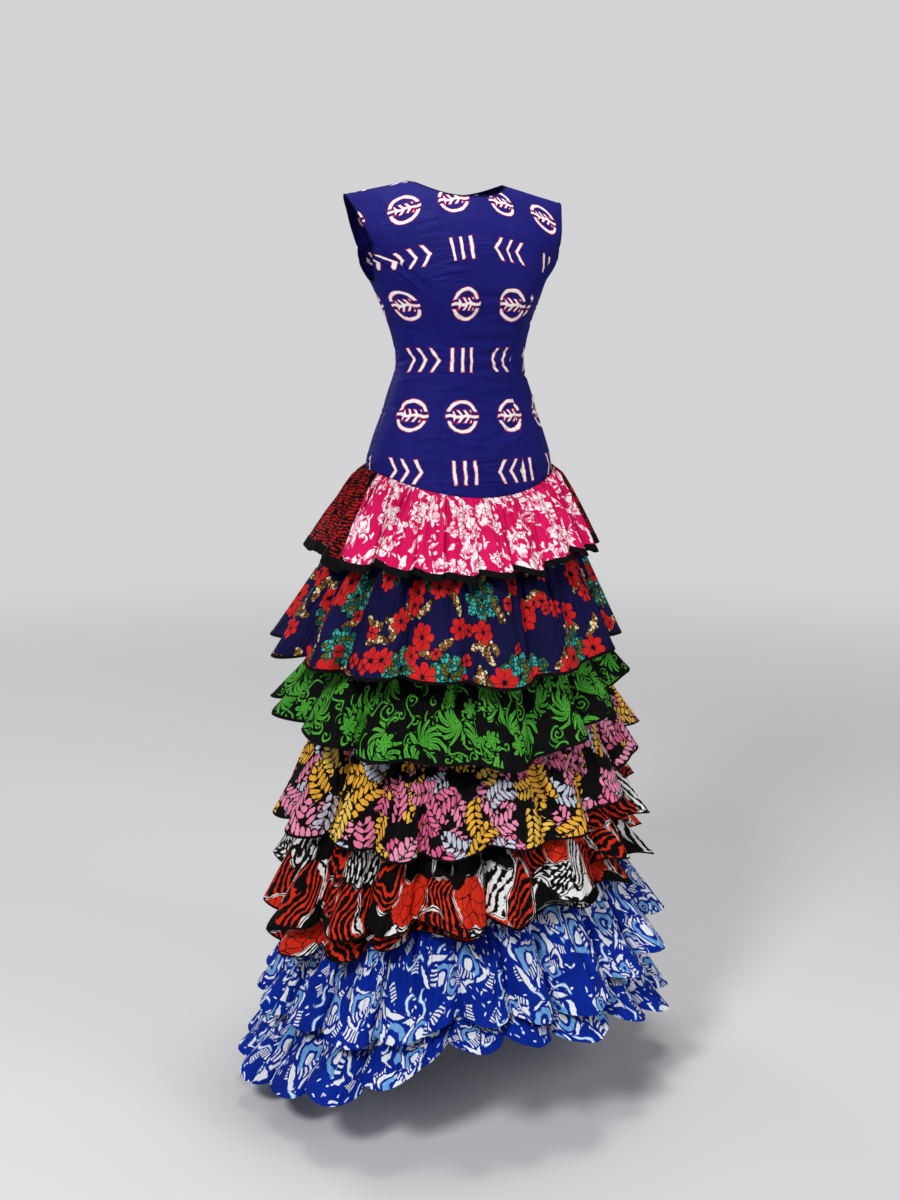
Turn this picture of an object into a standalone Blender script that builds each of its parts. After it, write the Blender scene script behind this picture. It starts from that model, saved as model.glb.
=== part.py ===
"""Sleeveless maxi dress, worn form, hollow and open at neck, armholes and hem.

A fitted bodice in princess-seamed panels ends in a dropped basque waist. Below it hangs a plain
foundation skirt, and on that eight gathered flounces, each cut as a front and a back piece.

Metres, +Z up, front towards -Y, the wearer's left towards +X. The origin is midway between the
shoulder seams, where the wearer holds the dress up. Heights in the tables are above the ground.
Angles round the body run from the centre front, 0, over the wearer's left side, 90, to the back.
"""
import math
from collections import namedtuple

import bpy
import bmesh
from mathutils import Vector

SHOULDER_HEIGHT = 1.475      # middle of the shoulder seams above the ground
GAP = 0.0003                 # between pieces that are sewn together
BODICE_WALL = 0.0015
SKIRT_WALL = 0.0018
SHARP_ANGLE = math.radians(50)   # edges of a wall that are shaded sharp
COTTON_ROUGHNESS = 0.85

# Upper bodice
NECK_HALF_WIDTH = 0.083
NECK_POINT_HEIGHT = 1.487
FRONT_NECK_HEIGHT = 1.460
BACK_NECK_HEIGHT = 1.472
NECKLINE_ROUNDNESS = 2.6
SHOULDER_SLOPE = 0.233
SHOULDER_ROLL = 0.10         # depth over which the cloth turns over the shoulder
SHOULDER_TIP_ANGLE = 72.5
SHOULDER_TIP_HEIGHT = 1.463
ARMHOLE_NOTCH_HEIGHT = 1.385  # where the princess seam leaves the armhole
UNDERARM_HEIGHT = 1.328

# Bust fullness, shaped by the princess seams
BUST_FULLNESS = 0.013
BUST_ANGLE = 36.0
BUST_ANGLE_SPREAD = 22.0
BUST_HEIGHT = 1.300
BUST_HEIGHT_SPREAD = 0.042

# Basque seam: height at the centre front, the sides and the centre back
BASQUE_FRONT = 0.993
BASQUE_SIDE = 1.033
BASQUE_BACK = 1.055

# Columns and rows of the bodice panels
COLUMN_SHARES = (0.0, 0.115, 0.23, 0.3475, 0.51, 0.68, 0.84, 1.0)
NECK_POINT_SHARE = 0.3475
SIDE_PANEL_COLUMNS = 6
ROWS_TO_NOTCH = 9
ROWS_ABOVE_NOTCH = 4

Section = namedtuple("Section", "height half_width front_depth back_depth forward sideways")
BODY = (
    Section(1.500, 0.196, 0.078, 0.072, 0.000, 0.000),
    Section(1.440, 0.195, 0.090, 0.080, 0.002, 0.000),
    Section(1.400, 0.188, 0.100, 0.087, 0.006, 0.000),
    Section(1.360, 0.168, 0.108, 0.091, 0.010, 0.000),
    Section(1.330, 0.147, 0.109, 0.091, 0.013, 0.000),
    Section(1.300, 0.134, 0.105, 0.088, 0.016, 0.000),
    Section(1.272, 0.122, 0.099, 0.084, 0.018, 0.000),
    Section(1.230, 0.110, 0.090, 0.079, 0.020, 0.000),
    Section(1.193, 0.108, 0.086, 0.077, 0.020, 0.000),
    Section(1.155, 0.120, 0.089, 0.084, 0.020, 0.000),
    Section(1.118, 0.132, 0.094, 0.094, 0.020, 0.000),
    Section(1.085, 0.144, 0.100, 0.104, 0.020, 0.000),
    Section(1.050, 0.155, 0.107, 0.113, 0.020, 0.000),
)
# Below the hip the foundation skirt is a straight-sided cone down to this section
CONE_FOOT = Section(0.150, 0.250, 0.195, 0.215, 0.010, 0.014)

# Seam angles of the panel edges, from the centre front or from the centre back
SeamPoint = namedtuple("SeamPoint", "height angle")
FRONT_PANEL_EDGE = (
    SeamPoint(1.463, 72.5),
    SeamPoint(1.440, 66.0),
    SeamPoint(1.405, 61.5),
    SeamPoint(1.385, 60.5),
    SeamPoint(1.355, 51.0),
    SeamPoint(1.325, 43.0),
    SeamPoint(1.290, 38.5),
    SeamPoint(1.240, 35.5),
    SeamPoint(1.190, 32.0),
    SeamPoint(1.120, 28.0),
    SeamPoint(0.990, 25.0),
)
BACK_PANEL_EDGE = (
    SeamPoint(1.463, 72.5),
    SeamPoint(1.440, 64.0),
    SeamPoint(1.405, 57.5),
    SeamPoint(1.385, 56.0),
    SeamPoint(1.355, 47.0),
    SeamPoint(1.325, 41.0),
    SeamPoint(1.290, 37.5),
    SeamPoint(1.240, 34.5),
    SeamPoint(1.190, 32.0),
    SeamPoint(1.120, 30.5),
    SeamPoint(0.990, 30.0),
)

# Centre-back zip: a chain between the back panels and a one-piece slider at its top
ZIP_HALF_WIDTH = 0.0018
ZIP_ROWS = 13
SLIDER_TOP_HEIGHT = 1.452
SliderRow = namedtuple("SliderRow", "drop half_width thickness")
SLIDER_ROWS = (
    SliderRow(0.000, 0.0022, 0.0022),
    SliderRow(0.005, 0.0030, 0.0030),
    SliderRow(0.009, 0.0020, 0.0018),
    SliderRow(0.018, 0.0032, 0.0018),
    SliderRow(0.025, 0.0026, 0.0016),
)

# Flounces from the waist down. Hem heights at the centre front, the wearer's left and right
# sides and the centre back; the hem's mean half width and depths; fold is half the depth of a
# fold at the hem, spread the power of the flare, seam the angle of the side seams.
Flounce = namedtuple("Flounce", "name folds turn overlap hem_front hem_left hem_right hem_back "
                                "half_width front_depth back_depth sideways fold spread seam")
FLOUNCES = (
    Flounce("1", 24, 0.3, 0.000, 0.877, 0.908, 0.900, 0.905,
            0.233, 0.200, 0.215, -0.003, 0.013, 0.90, 73.0),
    Flounce("2", 16, 1.1, 0.045, 0.719, 0.760, 0.748, 0.745,
            0.277, 0.238, 0.252, -0.010, 0.024, 0.90, 90.0),
    Flounce("3", 16, 2.0, 0.045, 0.594, 0.704, 0.640, 0.655,
            0.282, 0.243, 0.258, -0.004, 0.023, 1.00, 90.0),
    Flounce("4", 18, 0.6, 0.045, 0.462, 0.585, 0.470, 0.505,
            0.290, 0.250, 0.268, 0.010, 0.026, 1.00, 90.0),
    Flounce("5a", 18, 2.7, 0.045, 0.358, 0.498, 0.334, 0.400,
            0.295, 0.256, 0.274, 0.003, 0.030, 0.85, 90.0),
    Flounce("5b", 18, 2.7, 0.035, 0.345, 0.400, 0.282, 0.325,
            0.306, 0.236, 0.286, 0.014, 0.026, 1.10, 90.0),
    Flounce("6a", 20, 1.7, 0.035, 0.212, 0.262, 0.165, 0.185,
            0.328, 0.284, 0.308, 0.020, 0.029, 1.05, 90.0),
    Flounce("6b", 20, 1.7, 0.040, 0.186, 0.112, 0.056, 0.040,
            0.345, 0.296, 0.325, 0.007, 0.034, 1.00, 90.0),
)
# Shape of the folds: two slow sways that make their widths uneven, how much shallower they are
# at the front than at the sides, a slow change of depth, and a flattening of the crests
WIDTH_SWAYS = ((3, 0.45), (5, 0.35))
FRONT_FOLD_DEPTH = 0.72
SIDE_FOLD_DEPTH = 0.36
DEPTH_SWAY = 0.13
DEPTH_SWAY_COUNT = 5
DEPTH_SWAY_PHASE = 3
CREST_FLATTENING = 0.2
FOLD_GROWTH = 1.2            # power by which the folds deepen from the gathers to the hem
FLOUNCE_SEAT = 0.0007        # from the foundation skirt to a flounce's gathered edge
FLOUNCE_ROWS = 3
SHARPEST_MITRE = 0.55        # cosine that limits how far a mitred wall point moves
COLUMNS_PER_FOLD = 4
PHASE_STEPS = 12             # steps that find the angle at which a fold's phase is reached
SEAM_CLEARANCE = 0.45        # share of a column that is kept clear beside a side seam
BAND_DEPTH = 0.016           # black band along the hem of the first flounce
FOUNDATION_HEM_DROP = 0.022  # foundation skirt below the last gathered edge
FOUNDATION_ROWS = 2

COLOURS = {
    "bodice_cloth": (0.016, 0.016, 0.195),
    "foundation_cloth": (0.010, 0.010, 0.012),
    "flounce_1_front": (0.70, 0.02, 0.14),
    "flounce_1_back": (0.10, 0.01, 0.01),
    "flounce_2": (0.02, 0.02, 0.10),
    "flounce_3": (0.02, 0.20, 0.03),
    "flounce_4": (0.55, 0.20, 0.15),
    "flounce_5": (0.45, 0.05, 0.02),
    "flounce_6": (0.03, 0.11, 0.60),
    "black_binding": (0.006, 0.006, 0.007),
    "zip_metal": (0.03, 0.03, 0.20),
}


def clear_scene():
    for thing in list(bpy.data.objects):
        bpy.data.objects.remove(thing, do_unlink=True)


def make_material(slot):
    material = bpy.data.materials.new(slot)
    material.use_nodes = True
    shader = material.node_tree.nodes["Principled BSDF"]
    shader.inputs["Base Color"].default_value = (*COLOURS[slot], 1.0)
    shader.inputs["Roughness"].default_value = COTTON_ROUGHNESS
    shader.inputs["Metallic"].default_value = 0.0
    return material


def smooth_value(table, height, column):
    """Value of a column at a height, on a smooth curve through the rows, which run downwards."""
    if height >= table[0].height:
        return getattr(table[0], column)
    if height <= table[-1].height:
        return getattr(table[-1], column)
    index = 0
    while table[index + 1].height > height:
        index += 1
    upper, lower = table[index], table[index + 1]
    above = table[max(index - 1, 0)]
    below = table[min(index + 2, len(table) - 1)]

    def slope(first, last):
        return (getattr(last, column) - getattr(first, column)) / (last.height - first.height)

    span = lower.height - upper.height
    start_slope = slope(above, lower) * span
    end_slope = slope(upper, below) * span
    t = (height - upper.height) / span
    start, end = getattr(upper, column), getattr(lower, column)
    return ((2 * t**3 - 3 * t**2 + 1) * start + (t**3 - 2 * t**2 + t) * start_slope
            + (3 * t**2 - 2 * t**3) * end + (t**3 - t**2) * end_slope)


def section_at(height):
    """The body section at a height: the bodice's table, or the cone of the foundation skirt."""
    hip = BODY[-1]
    if height >= hip.height:
        return Section(height, *(smooth_value(BODY, height, column)
                                 for column in Section._fields[1:]))
    share = (hip.height - height) / (hip.height - CONE_FOOT.height)
    return Section(height, *(start + (end - start) * share
                             for start, end in zip(hip[1:], CONE_FOOT[1:])))


def round_the_body(angle, front, left, right, back):
    """Blend four values set at the front, the two sides and the back."""
    towards_front = math.cos(angle)
    towards_left = math.sin(angle)
    middle = front if towards_front > 0 else back
    side = left if towards_left > 0 else right
    return middle * towards_front**2 + side * towards_left**2


def basque_height(angle):
    return round_the_body(angle, BASQUE_FRONT, BASQUE_SIDE, BASQUE_SIDE, BASQUE_BACK)


def ground_to_frame(x, y, height):
    return Vector((x, y, height - SHOULDER_HEIGHT))


def shoulder_height(x):
    return NECK_POINT_HEIGHT - (abs(x) - NECK_HALF_WIDTH) * SHOULDER_SLOPE


def body_point(angle, height, inset=0.0):
    """Point of the bodice or foundation surface, moved in from the outside by inset."""
    section = section_at(height)
    x = (section.half_width - inset) * math.sin(angle)
    facing_front = math.cos(angle) > 0
    depth = section.front_depth if facing_front else section.back_depth
    below_shoulder = max(shoulder_height(x) - height, 0.0)
    turned = max(1.0 - below_shoulder / SHOULDER_ROLL, 0.0)
    roll = math.sqrt(1.0 - turned**2)
    bust = 0.0
    if facing_front:
        across = (abs(math.degrees(angle)) - BUST_ANGLE) / BUST_ANGLE_SPREAD
        upward = (height - BUST_HEIGHT) / BUST_HEIGHT_SPREAD
        bust = BUST_FULLNESS * math.exp(-across**2 - upward**2)
    y = -section.forward * roll - ((depth + bust - inset) * math.cos(angle)) * roll
    return ground_to_frame(x + section.sideways, y, height - inset * turned)


def body_tangent(angle):
    return Vector((math.cos(angle), math.sin(angle), 0.0))


def make_wall(name, outer, inner, slot):
    """Closed wall from two grids of points, each a list of rows, the same size."""
    rows, columns = len(outer), len(outer[0])
    mesh = bpy.data.meshes.new(name)
    wall = bmesh.new()
    outside = [[wall.verts.new(point) for point in row] for row in outer]
    inside = [[wall.verts.new(point) for point in row] for row in inner]
    for i in range(rows - 1):
        for j in range(columns - 1):
            wall.faces.new((outside[i][j], outside[i][j + 1],
                            outside[i + 1][j + 1], outside[i + 1][j]))
            wall.faces.new((inside[i][j], inside[i + 1][j],
                            inside[i + 1][j + 1], inside[i][j + 1]))
    for i, step in ((0, 1), (rows - 1, -1)):
        for j in range(columns - 1):
            left, right = (j, j + 1)[::step]
            wall.faces.new((outside[i][right], outside[i][left],
                            inside[i][left], inside[i][right]))
    for j, step in ((0, -1), (columns - 1, 1)):
        for i in range(rows - 1):
            upper, lower = (i, i + 1)[::step]
            wall.faces.new((outside[lower][j], outside[upper][j],
                            inside[upper][j], inside[lower][j]))
    bmesh.ops.recalc_face_normals(wall, faces=wall.faces)
    if wall.calc_volume(signed=True) < 0:
        bmesh.ops.reverse_faces(wall, faces=wall.faces)
    wall.to_mesh(mesh)
    wall.free()
    mesh.shade_smooth()
    mesh.set_sharp_from_angle(angle=SHARP_ANGLE)
    piece = bpy.data.objects.new(name, mesh)
    bpy.context.scene.collection.objects.link(piece)
    mesh.materials.append(MATERIALS[slot])
    return piece


def panel_rows(grid, edge_shift, inset):
    """Points of a panel from its (angle, height) grid, its two side edges eased for the seams."""
    points = []
    for row in grid:
        line = [body_point(angle, height, inset) for angle, height in row]
        line[0] += body_tangent(row[0][0]) * edge_shift
        line[-1] -= body_tangent(row[-1][0]) * edge_shift
        points.append(line)
    return points


def make_panel(name, grid, slot="bodice_cloth"):
    """Bodice panel from a grid whose angles grow along each row."""
    make_wall(name, panel_rows(grid, GAP / 2, 0.0), panel_rows(grid, GAP / 2, BODICE_WALL), slot)


def centre_panel_grid(edge, neck_height, toward_angle, shares):
    """Grid of a centre panel: angles measured from toward_angle, the centre front or back."""
    foot_angle = math.radians(smooth_value(edge, edge[-1].height, "angle"))
    foot = basque_height(toward_angle + foot_angle)
    seam_heights = [foot + (ARMHOLE_NOTCH_HEIGHT - foot) * i / ROWS_TO_NOTCH
                    for i in range(ROWS_TO_NOTCH + 1)]
    seam_heights += [ARMHOLE_NOTCH_HEIGHT
                     + (SHOULDER_TIP_HEIGHT - ARMHOLE_NOTCH_HEIGHT) * i / ROWS_ABOVE_NOTCH
                     for i in range(1, ROWS_ABOVE_NOTCH + 1)]
    grid = []
    for seam_height in seam_heights:
        climb = (seam_height - foot) / (SHOULDER_TIP_HEIGHT - foot)
        edge_angle = math.radians(smooth_value(edge, seam_height, "angle"))
        row = []
        for share in shares:
            top = top_height(share, neck_height)
            bottom = basque_height(toward_angle + share * foot_angle)
            row.append((toward_angle + share * edge_angle, bottom + (top - bottom) * climb))
        grid.append(row)
    return grid


def top_height(share, neck_height):
    """Height of the neckline or the shoulder seam over a share of the centre panel's width."""
    x = BODY[1].half_width * math.sin(math.radians(SHOULDER_TIP_ANGLE) * abs(share))
    if abs(share) >= NECK_POINT_SHARE:
        return shoulder_height(x)
    rise = (x / NECK_HALF_WIDTH) ** NECKLINE_ROUNDNESS
    return neck_height + (NECK_POINT_HEIGHT - neck_height) * min(rise, 1.0)


def side_panel_grid(edge, toward_angle, turn):
    """Grid from the princess seam (share 0) to the side seam (share 1); turn is +1 or -1."""
    seam_foot_angle = math.radians(smooth_value(edge, edge[-1].height, "angle"))
    grid = []
    for i in range(ROWS_TO_NOTCH + 1):
        climb = i / ROWS_TO_NOTCH
        row = []
        for j in range(SIDE_PANEL_COLUMNS + 1):
            share = j / SIDE_PANEL_COLUMNS
            foot_angle = seam_foot_angle + (math.pi / 2 - seam_foot_angle) * share
            bottom = basque_height(toward_angle + turn * foot_angle)
            armhole = UNDERARM_HEIGHT + (ARMHOLE_NOTCH_HEIGHT - UNDERARM_HEIGHT) * (
                1.0 - math.sin(share * math.pi / 2))
            height = bottom + (armhole - bottom) * climb
            seam_bottom = basque_height(toward_angle + turn * seam_foot_angle)
            seam_height = seam_bottom + (ARMHOLE_NOTCH_HEIGHT - seam_bottom) * climb
            edge_angle = math.radians(smooth_value(edge, seam_height, "angle"))
            angle = edge_angle + (math.pi / 2 - edge_angle) * share
            row.append((toward_angle + turn * angle, height))
        grid.append(row)
    return grid


def in_angle_order(grid):
    return [sorted(row) for row in grid]


def make_bodice():
    shares = [-share for share in reversed(COLUMN_SHARES[1:])] + list(COLUMN_SHARES)
    make_panel("bodice_centre_front",
               centre_panel_grid(FRONT_PANEL_EDGE, FRONT_NECK_HEIGHT, 0.0, shares))
    for side, turn in (("left", 1), ("right", -1)):
        make_panel("bodice_side_front_" + side,
                   in_angle_order(side_panel_grid(FRONT_PANEL_EDGE, 0.0, turn)))
        back = math.pi * turn
        make_panel("bodice_side_back_" + side,
                   in_angle_order(side_panel_grid(BACK_PANEL_EDGE, back, -turn)))
        grid = centre_panel_grid(BACK_PANEL_EDGE, BACK_NECK_HEIGHT, back,
                                 [-turn * share for share in COLUMN_SHARES])
        make_centre_back("bodice_centre_back_" + side, in_angle_order(grid), turn)


def make_centre_back(name, grid, turn):
    """Back panel whose centre edge stops beside the zip."""
    layers = []
    for inset in (0.0, BODICE_WALL):
        rows = panel_rows(grid, GAP / 2, inset)
        centre = -1 if turn > 0 else 0
        for row in rows:
            row[centre].x = turn * (ZIP_HALF_WIDTH + GAP)
        layers.append(rows)
    make_wall(name, *layers, "bodice_cloth")


def zip_rows(inset, heights, half_widths):
    rows = []
    for height, half_width in zip(heights, half_widths):
        middle = body_point(math.pi, height, inset)
        rows.append([Vector((-half_width, middle.y, middle.z)),
                     Vector((half_width, middle.y, middle.z))])
    return rows


def make_zip():
    heights = [BASQUE_BACK + (BACK_NECK_HEIGHT - BASQUE_BACK) * i / ZIP_ROWS
               for i in range(ZIP_ROWS + 1)]
    widths = [ZIP_HALF_WIDTH] * len(heights)
    make_wall("zip_chain", zip_rows(0.0, heights, widths), zip_rows(BODICE_WALL, heights, widths),
              "bodice_cloth")
    heights = [SLIDER_TOP_HEIGHT - row.drop for row in SLIDER_ROWS]
    widths = [row.half_width for row in SLIDER_ROWS]
    inner = zip_rows(-2 * GAP, heights, widths)
    outer = zip_rows(-2 * GAP, heights, widths)
    for line, row in zip(outer, SLIDER_ROWS):
        for point in line:
            point.y += row.thickness
    make_wall("zip_slider", outer, inner, "zip_metal")


def basque_angles(front):
    """Column angles of the basque seam on one half, the same as the bodice panels' lower edges."""
    edge = FRONT_PANEL_EDGE if front else BACK_PANEL_EDGE
    seam = math.radians(edge[-1].angle)
    centre = [seam * share for share in COLUMN_SHARES]
    side = [seam + (math.pi / 2 - seam) * j / SIDE_PANEL_COLUMNS
            for j in range(1, SIDE_PANEL_COLUMNS + 1)]
    quarter = centre + side
    both = [-angle for angle in reversed(quarter[1:])] + quarter
    return both if front else [math.pi + angle for angle in both]


def make_foundation():
    for front, name in ((True, "foundation_skirt_front"), (False, "foundation_skirt_back")):
        grid = []
        for i in range(FOUNDATION_ROWS + 1):
            share = i / FOUNDATION_ROWS
            row = []
            for angle in basque_angles(front):
                top = basque_height(angle) - GAP
                bottom = gathered_edge_height(len(FLOUNCES) - 1, angle) - FOUNDATION_HEM_DROP
                row.append((angle, top + (bottom - top) * share))
            grid.append(row)
        make_panel(name, grid, "foundation_cloth")


def hem_height(tier, angle):
    flounce = FLOUNCES[tier]
    return round_the_body(angle, flounce.hem_front, flounce.hem_left,
                          flounce.hem_right, flounce.hem_back)


def gathered_edge_height(tier, angle):
    """A flounce is sewn on a little above the hem of the one before, the first in the basque."""
    if tier == 0:
        return basque_height(angle) - GAP
    return hem_height(tier - 1, angle) + FLOUNCES[tier].overlap


def fold_phase(flounce, angle):
    """Phase of the folds, uneven in width round the body."""
    sways = sum(size * math.sin(count * angle + count * flounce.turn)
                for count, size in WIDTH_SWAYS)
    return flounce.folds * angle + sways


def fold_shape(flounce, angle):
    """Fold depth from about -1 in a valley to 1 on a crest, deeper at the sides."""
    phase = fold_phase(flounce, angle)
    uneven = (FRONT_FOLD_DEPTH + SIDE_FOLD_DEPTH * math.sin(angle)**2
              + DEPTH_SWAY * math.sin(DEPTH_SWAY_COUNT * angle
                                    + DEPTH_SWAY_PHASE * flounce.turn))
    return uneven * (math.cos(phase) - CREST_FLATTENING * math.cos(2 * phase))


def flounce_point(tier, angle, share):
    """Point on a flounce's outer face, share 0 at the gathered edge and 1 at the hem."""
    flounce = FLOUNCES[tier]
    top = gathered_edge_height(tier, angle)
    height = top + (hem_height(tier, angle) - top) * share
    edge = body_point(angle, top, -(FLOUNCE_SEAT + SKIRT_WALL))
    depth = flounce.front_depth if math.cos(angle) > 0 else flounce.back_depth
    hem = Vector((flounce.half_width * math.sin(angle) + flounce.sideways,
                  -depth * math.cos(angle), 0.0))
    flare = share ** flounce.spread
    x = edge.x + (hem.x - edge.x) * flare
    y = edge.y + (hem.y - edge.y) * flare
    outside = Vector((depth * math.sin(angle), -flounce.half_width * math.cos(angle), 0.0))
    outside.normalize()
    fold = flounce.fold * share**FOLD_GROWTH * fold_shape(flounce, angle)
    return ground_to_frame(x, y, height) + outside * fold


def fold_columns(tier):
    """Column angles round the whole flounce, on the crests, valleys and halfway between."""
    flounce = FLOUNCES[tier]
    count = flounce.folds * COLUMNS_PER_FOLD
    seam = math.radians(flounce.seam)
    angles = []
    for k in range(count):
        wanted = 2 * math.pi * k / COLUMNS_PER_FOLD
        angle = wanted / flounce.folds
        for _ in range(PHASE_STEPS):
            angle += (wanted - fold_phase(flounce, angle)) / flounce.folds
        if angle > math.pi:
            angle -= 2 * math.pi
        angles.append(angle)
    step = 2 * math.pi / count
    for edge in (seam, -seam):
        angles = [angle for angle in angles if abs(angle - edge) > SEAM_CLEARANCE * step]
        angles.append(edge)
    return sorted(angles)


def inset_ring(ring, wall):
    """Ring of points moved inwards in the plane by an even wall, mitred at each point."""
    moved = []
    count = len(ring)
    for i, point in enumerate(ring):
        before = point - ring[i - 1]
        after = ring[(i + 1) % count] - point
        before.z = 0.0
        after.z = 0.0
        before.normalize()
        after.normalize()
        tangent = (before + after).normalized()
        inward = Vector((-tangent.y, tangent.x, 0.0))
        stretch = 1.0 / max(tangent.dot(before), SHARPEST_MITRE)
        moved.append(point + inward * wall * stretch)
    return moved


def split_ring(ring, inner_ring, angles, seam):
    """Front and back stretches of two rings, with the sewing gap at both side seams."""
    left = angles.index(seam)
    right = angles.index(-seam)
    count = len(angles)
    halves = {"front": list(range(right, left + 1)),
              "back": list(range(left, right + count + 1))}
    stretches = {}
    for side, indices in halves.items():
        layers = []
        for layer in (ring, inner_ring):
            points = [layer[i % count].copy() for i in indices]
            first = (layer[(indices[0] + 1) % count] - layer[indices[0] % count]).normalized()
            last = (layer[(indices[-1] - 1) % count] - layer[indices[-1] % count]).normalized()
            points[0] += first * GAP / 2
            points[-1] += last * GAP / 2
            layers.append(points)
        stretches[side] = layers
    return stretches


def make_flounce_band(tier, name, slots, shares):
    """Front and back walls of a flounce between two shares of its depth."""
    seam = math.radians(FLOUNCES[tier].seam)
    angles = fold_columns(tier)
    walls = {"front": ([], []), "back": ([], [])}
    for share in shares:
        ring = [flounce_point(tier, angle, share) for angle in angles]
        stretches = split_ring(ring, inset_ring(ring, SKIRT_WALL), angles, seam)
        for side, (outer, inner) in stretches.items():
            walls[side][0].append(outer)
            walls[side][1].append(inner)
    for side, (outer, inner) in walls.items():
        make_wall(name + "_" + side, outer, inner, slots[side])


def make_flounces():
    for tier, flounce in enumerate(FLOUNCES):
        name = "flounce_" + flounce.name
        end = 1.0
        if tier == 0:
            depth = gathered_edge_height(0, 0.0) - hem_height(0, 0.0)
            end = 1.0 - BAND_DEPTH / depth
            slots = {"front": "flounce_1_front", "back": "flounce_1_back"}
            band_slots = {"front": "black_binding", "back": "black_binding"}
            make_flounce_band(0, name + "_band", band_slots, (end + GAP / depth, 1.0))
        else:
            slot = "flounce_" + flounce.name[0]
            slots = {"front": slot, "back": slot}
        shares = [end * i / FLOUNCE_ROWS for i in range(FLOUNCE_ROWS + 1)]
        make_flounce_band(tier, name, slots, shares)


clear_scene()
MATERIALS = {slot: make_material(slot) for slot in COLOURS}
make_bodice()
make_zip()
make_foundation()
make_flounces()
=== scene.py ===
import math
from collections import namedtuple
from functools import partialmethod

import bpy
import numpy as np
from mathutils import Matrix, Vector


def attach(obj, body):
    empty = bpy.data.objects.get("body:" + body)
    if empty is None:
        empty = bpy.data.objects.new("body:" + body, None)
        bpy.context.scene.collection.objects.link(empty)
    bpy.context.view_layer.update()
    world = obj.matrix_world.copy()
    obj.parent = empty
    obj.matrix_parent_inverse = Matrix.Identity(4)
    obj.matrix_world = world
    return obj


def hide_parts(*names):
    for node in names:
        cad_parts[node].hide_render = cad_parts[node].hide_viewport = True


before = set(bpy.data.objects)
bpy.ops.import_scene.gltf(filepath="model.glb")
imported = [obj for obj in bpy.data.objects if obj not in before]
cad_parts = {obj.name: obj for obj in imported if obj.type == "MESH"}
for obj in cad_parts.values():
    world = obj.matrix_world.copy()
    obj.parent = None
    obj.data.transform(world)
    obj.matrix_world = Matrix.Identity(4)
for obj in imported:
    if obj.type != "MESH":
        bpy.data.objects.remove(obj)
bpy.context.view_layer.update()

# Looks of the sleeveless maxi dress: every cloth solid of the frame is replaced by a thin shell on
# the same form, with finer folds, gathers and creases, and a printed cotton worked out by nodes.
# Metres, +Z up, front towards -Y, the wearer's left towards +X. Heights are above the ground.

# Sizes that the shells share with the solids
SHOULDER_HEIGHT = 1.475
GAP = 0.0003
SKIRT_WALL = 0.0018
NECK_HALF_WIDTH = 0.083
NECK_POINT_HEIGHT = 1.487
FRONT_NECK_HEIGHT = 1.460
BACK_NECK_HEIGHT = 1.472
NECKLINE_ROUNDNESS = 2.6
SHOULDER_SLOPE = 0.233
SHOULDER_ROLL = 0.10
SHOULDER_TIP_ANGLE = 72.5
SHOULDER_TIP_HEIGHT = 1.463
ARMHOLE_NOTCH_HEIGHT = 1.385
UNDERARM_HEIGHT = 1.328
BUST_FULLNESS = 0.013
BUST_ANGLE = 36.0
BUST_ANGLE_SPREAD = 22.0
BUST_HEIGHT = 1.300
BUST_HEIGHT_SPREAD = 0.042
BASQUE_FRONT = 0.993
BASQUE_SIDE = 1.033
BASQUE_BACK = 1.055
NECK_POINT_SHARE = 0.3475
ZIP_HALF_WIDTH = 0.0018

Section = namedtuple("Section", "height half_width front_depth back_depth forward sideways")
BODY = [Section(*row, 0.0) for row in (
    (1.500, 0.196, 0.078, 0.072, 0.000),
    (1.440, 0.195, 0.090, 0.080, 0.002),
    (1.400, 0.188, 0.100, 0.087, 0.006),
    (1.360, 0.168, 0.108, 0.091, 0.010),
    (1.330, 0.147, 0.109, 0.091, 0.013),
    (1.300, 0.134, 0.105, 0.088, 0.016),
    (1.272, 0.122, 0.099, 0.084, 0.018),
    (1.230, 0.110, 0.090, 0.079, 0.020),
    (1.193, 0.108, 0.086, 0.077, 0.020),
    (1.155, 0.120, 0.089, 0.084, 0.020),
    (1.118, 0.132, 0.094, 0.094, 0.020),
    (1.085, 0.144, 0.100, 0.104, 0.020),
    (1.050, 0.155, 0.107, 0.113, 0.020),
)]
CONE_FOOT = Section(0.150, 0.250, 0.195, 0.215, 0.010, 0.014)

# Angles of the princess seams in degrees, from the centre front and from the centre back
PanelEdge = namedtuple("PanelEdge", "height front back")
PANEL_EDGES = [PanelEdge(*row) for row in (
    (1.463, 72.5, 72.5), (1.440, 66.0, 64.0), (1.405, 61.5, 57.5), (1.385, 60.5, 56.0),
    (1.355, 51.0, 47.0), (1.325, 43.0, 41.0), (1.290, 38.5, 37.5), (1.240, 35.5, 34.5),
    (1.190, 32.0, 32.0), (1.120, 28.0, 30.5), (0.990, 25.0, 30.0),
)]

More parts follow.
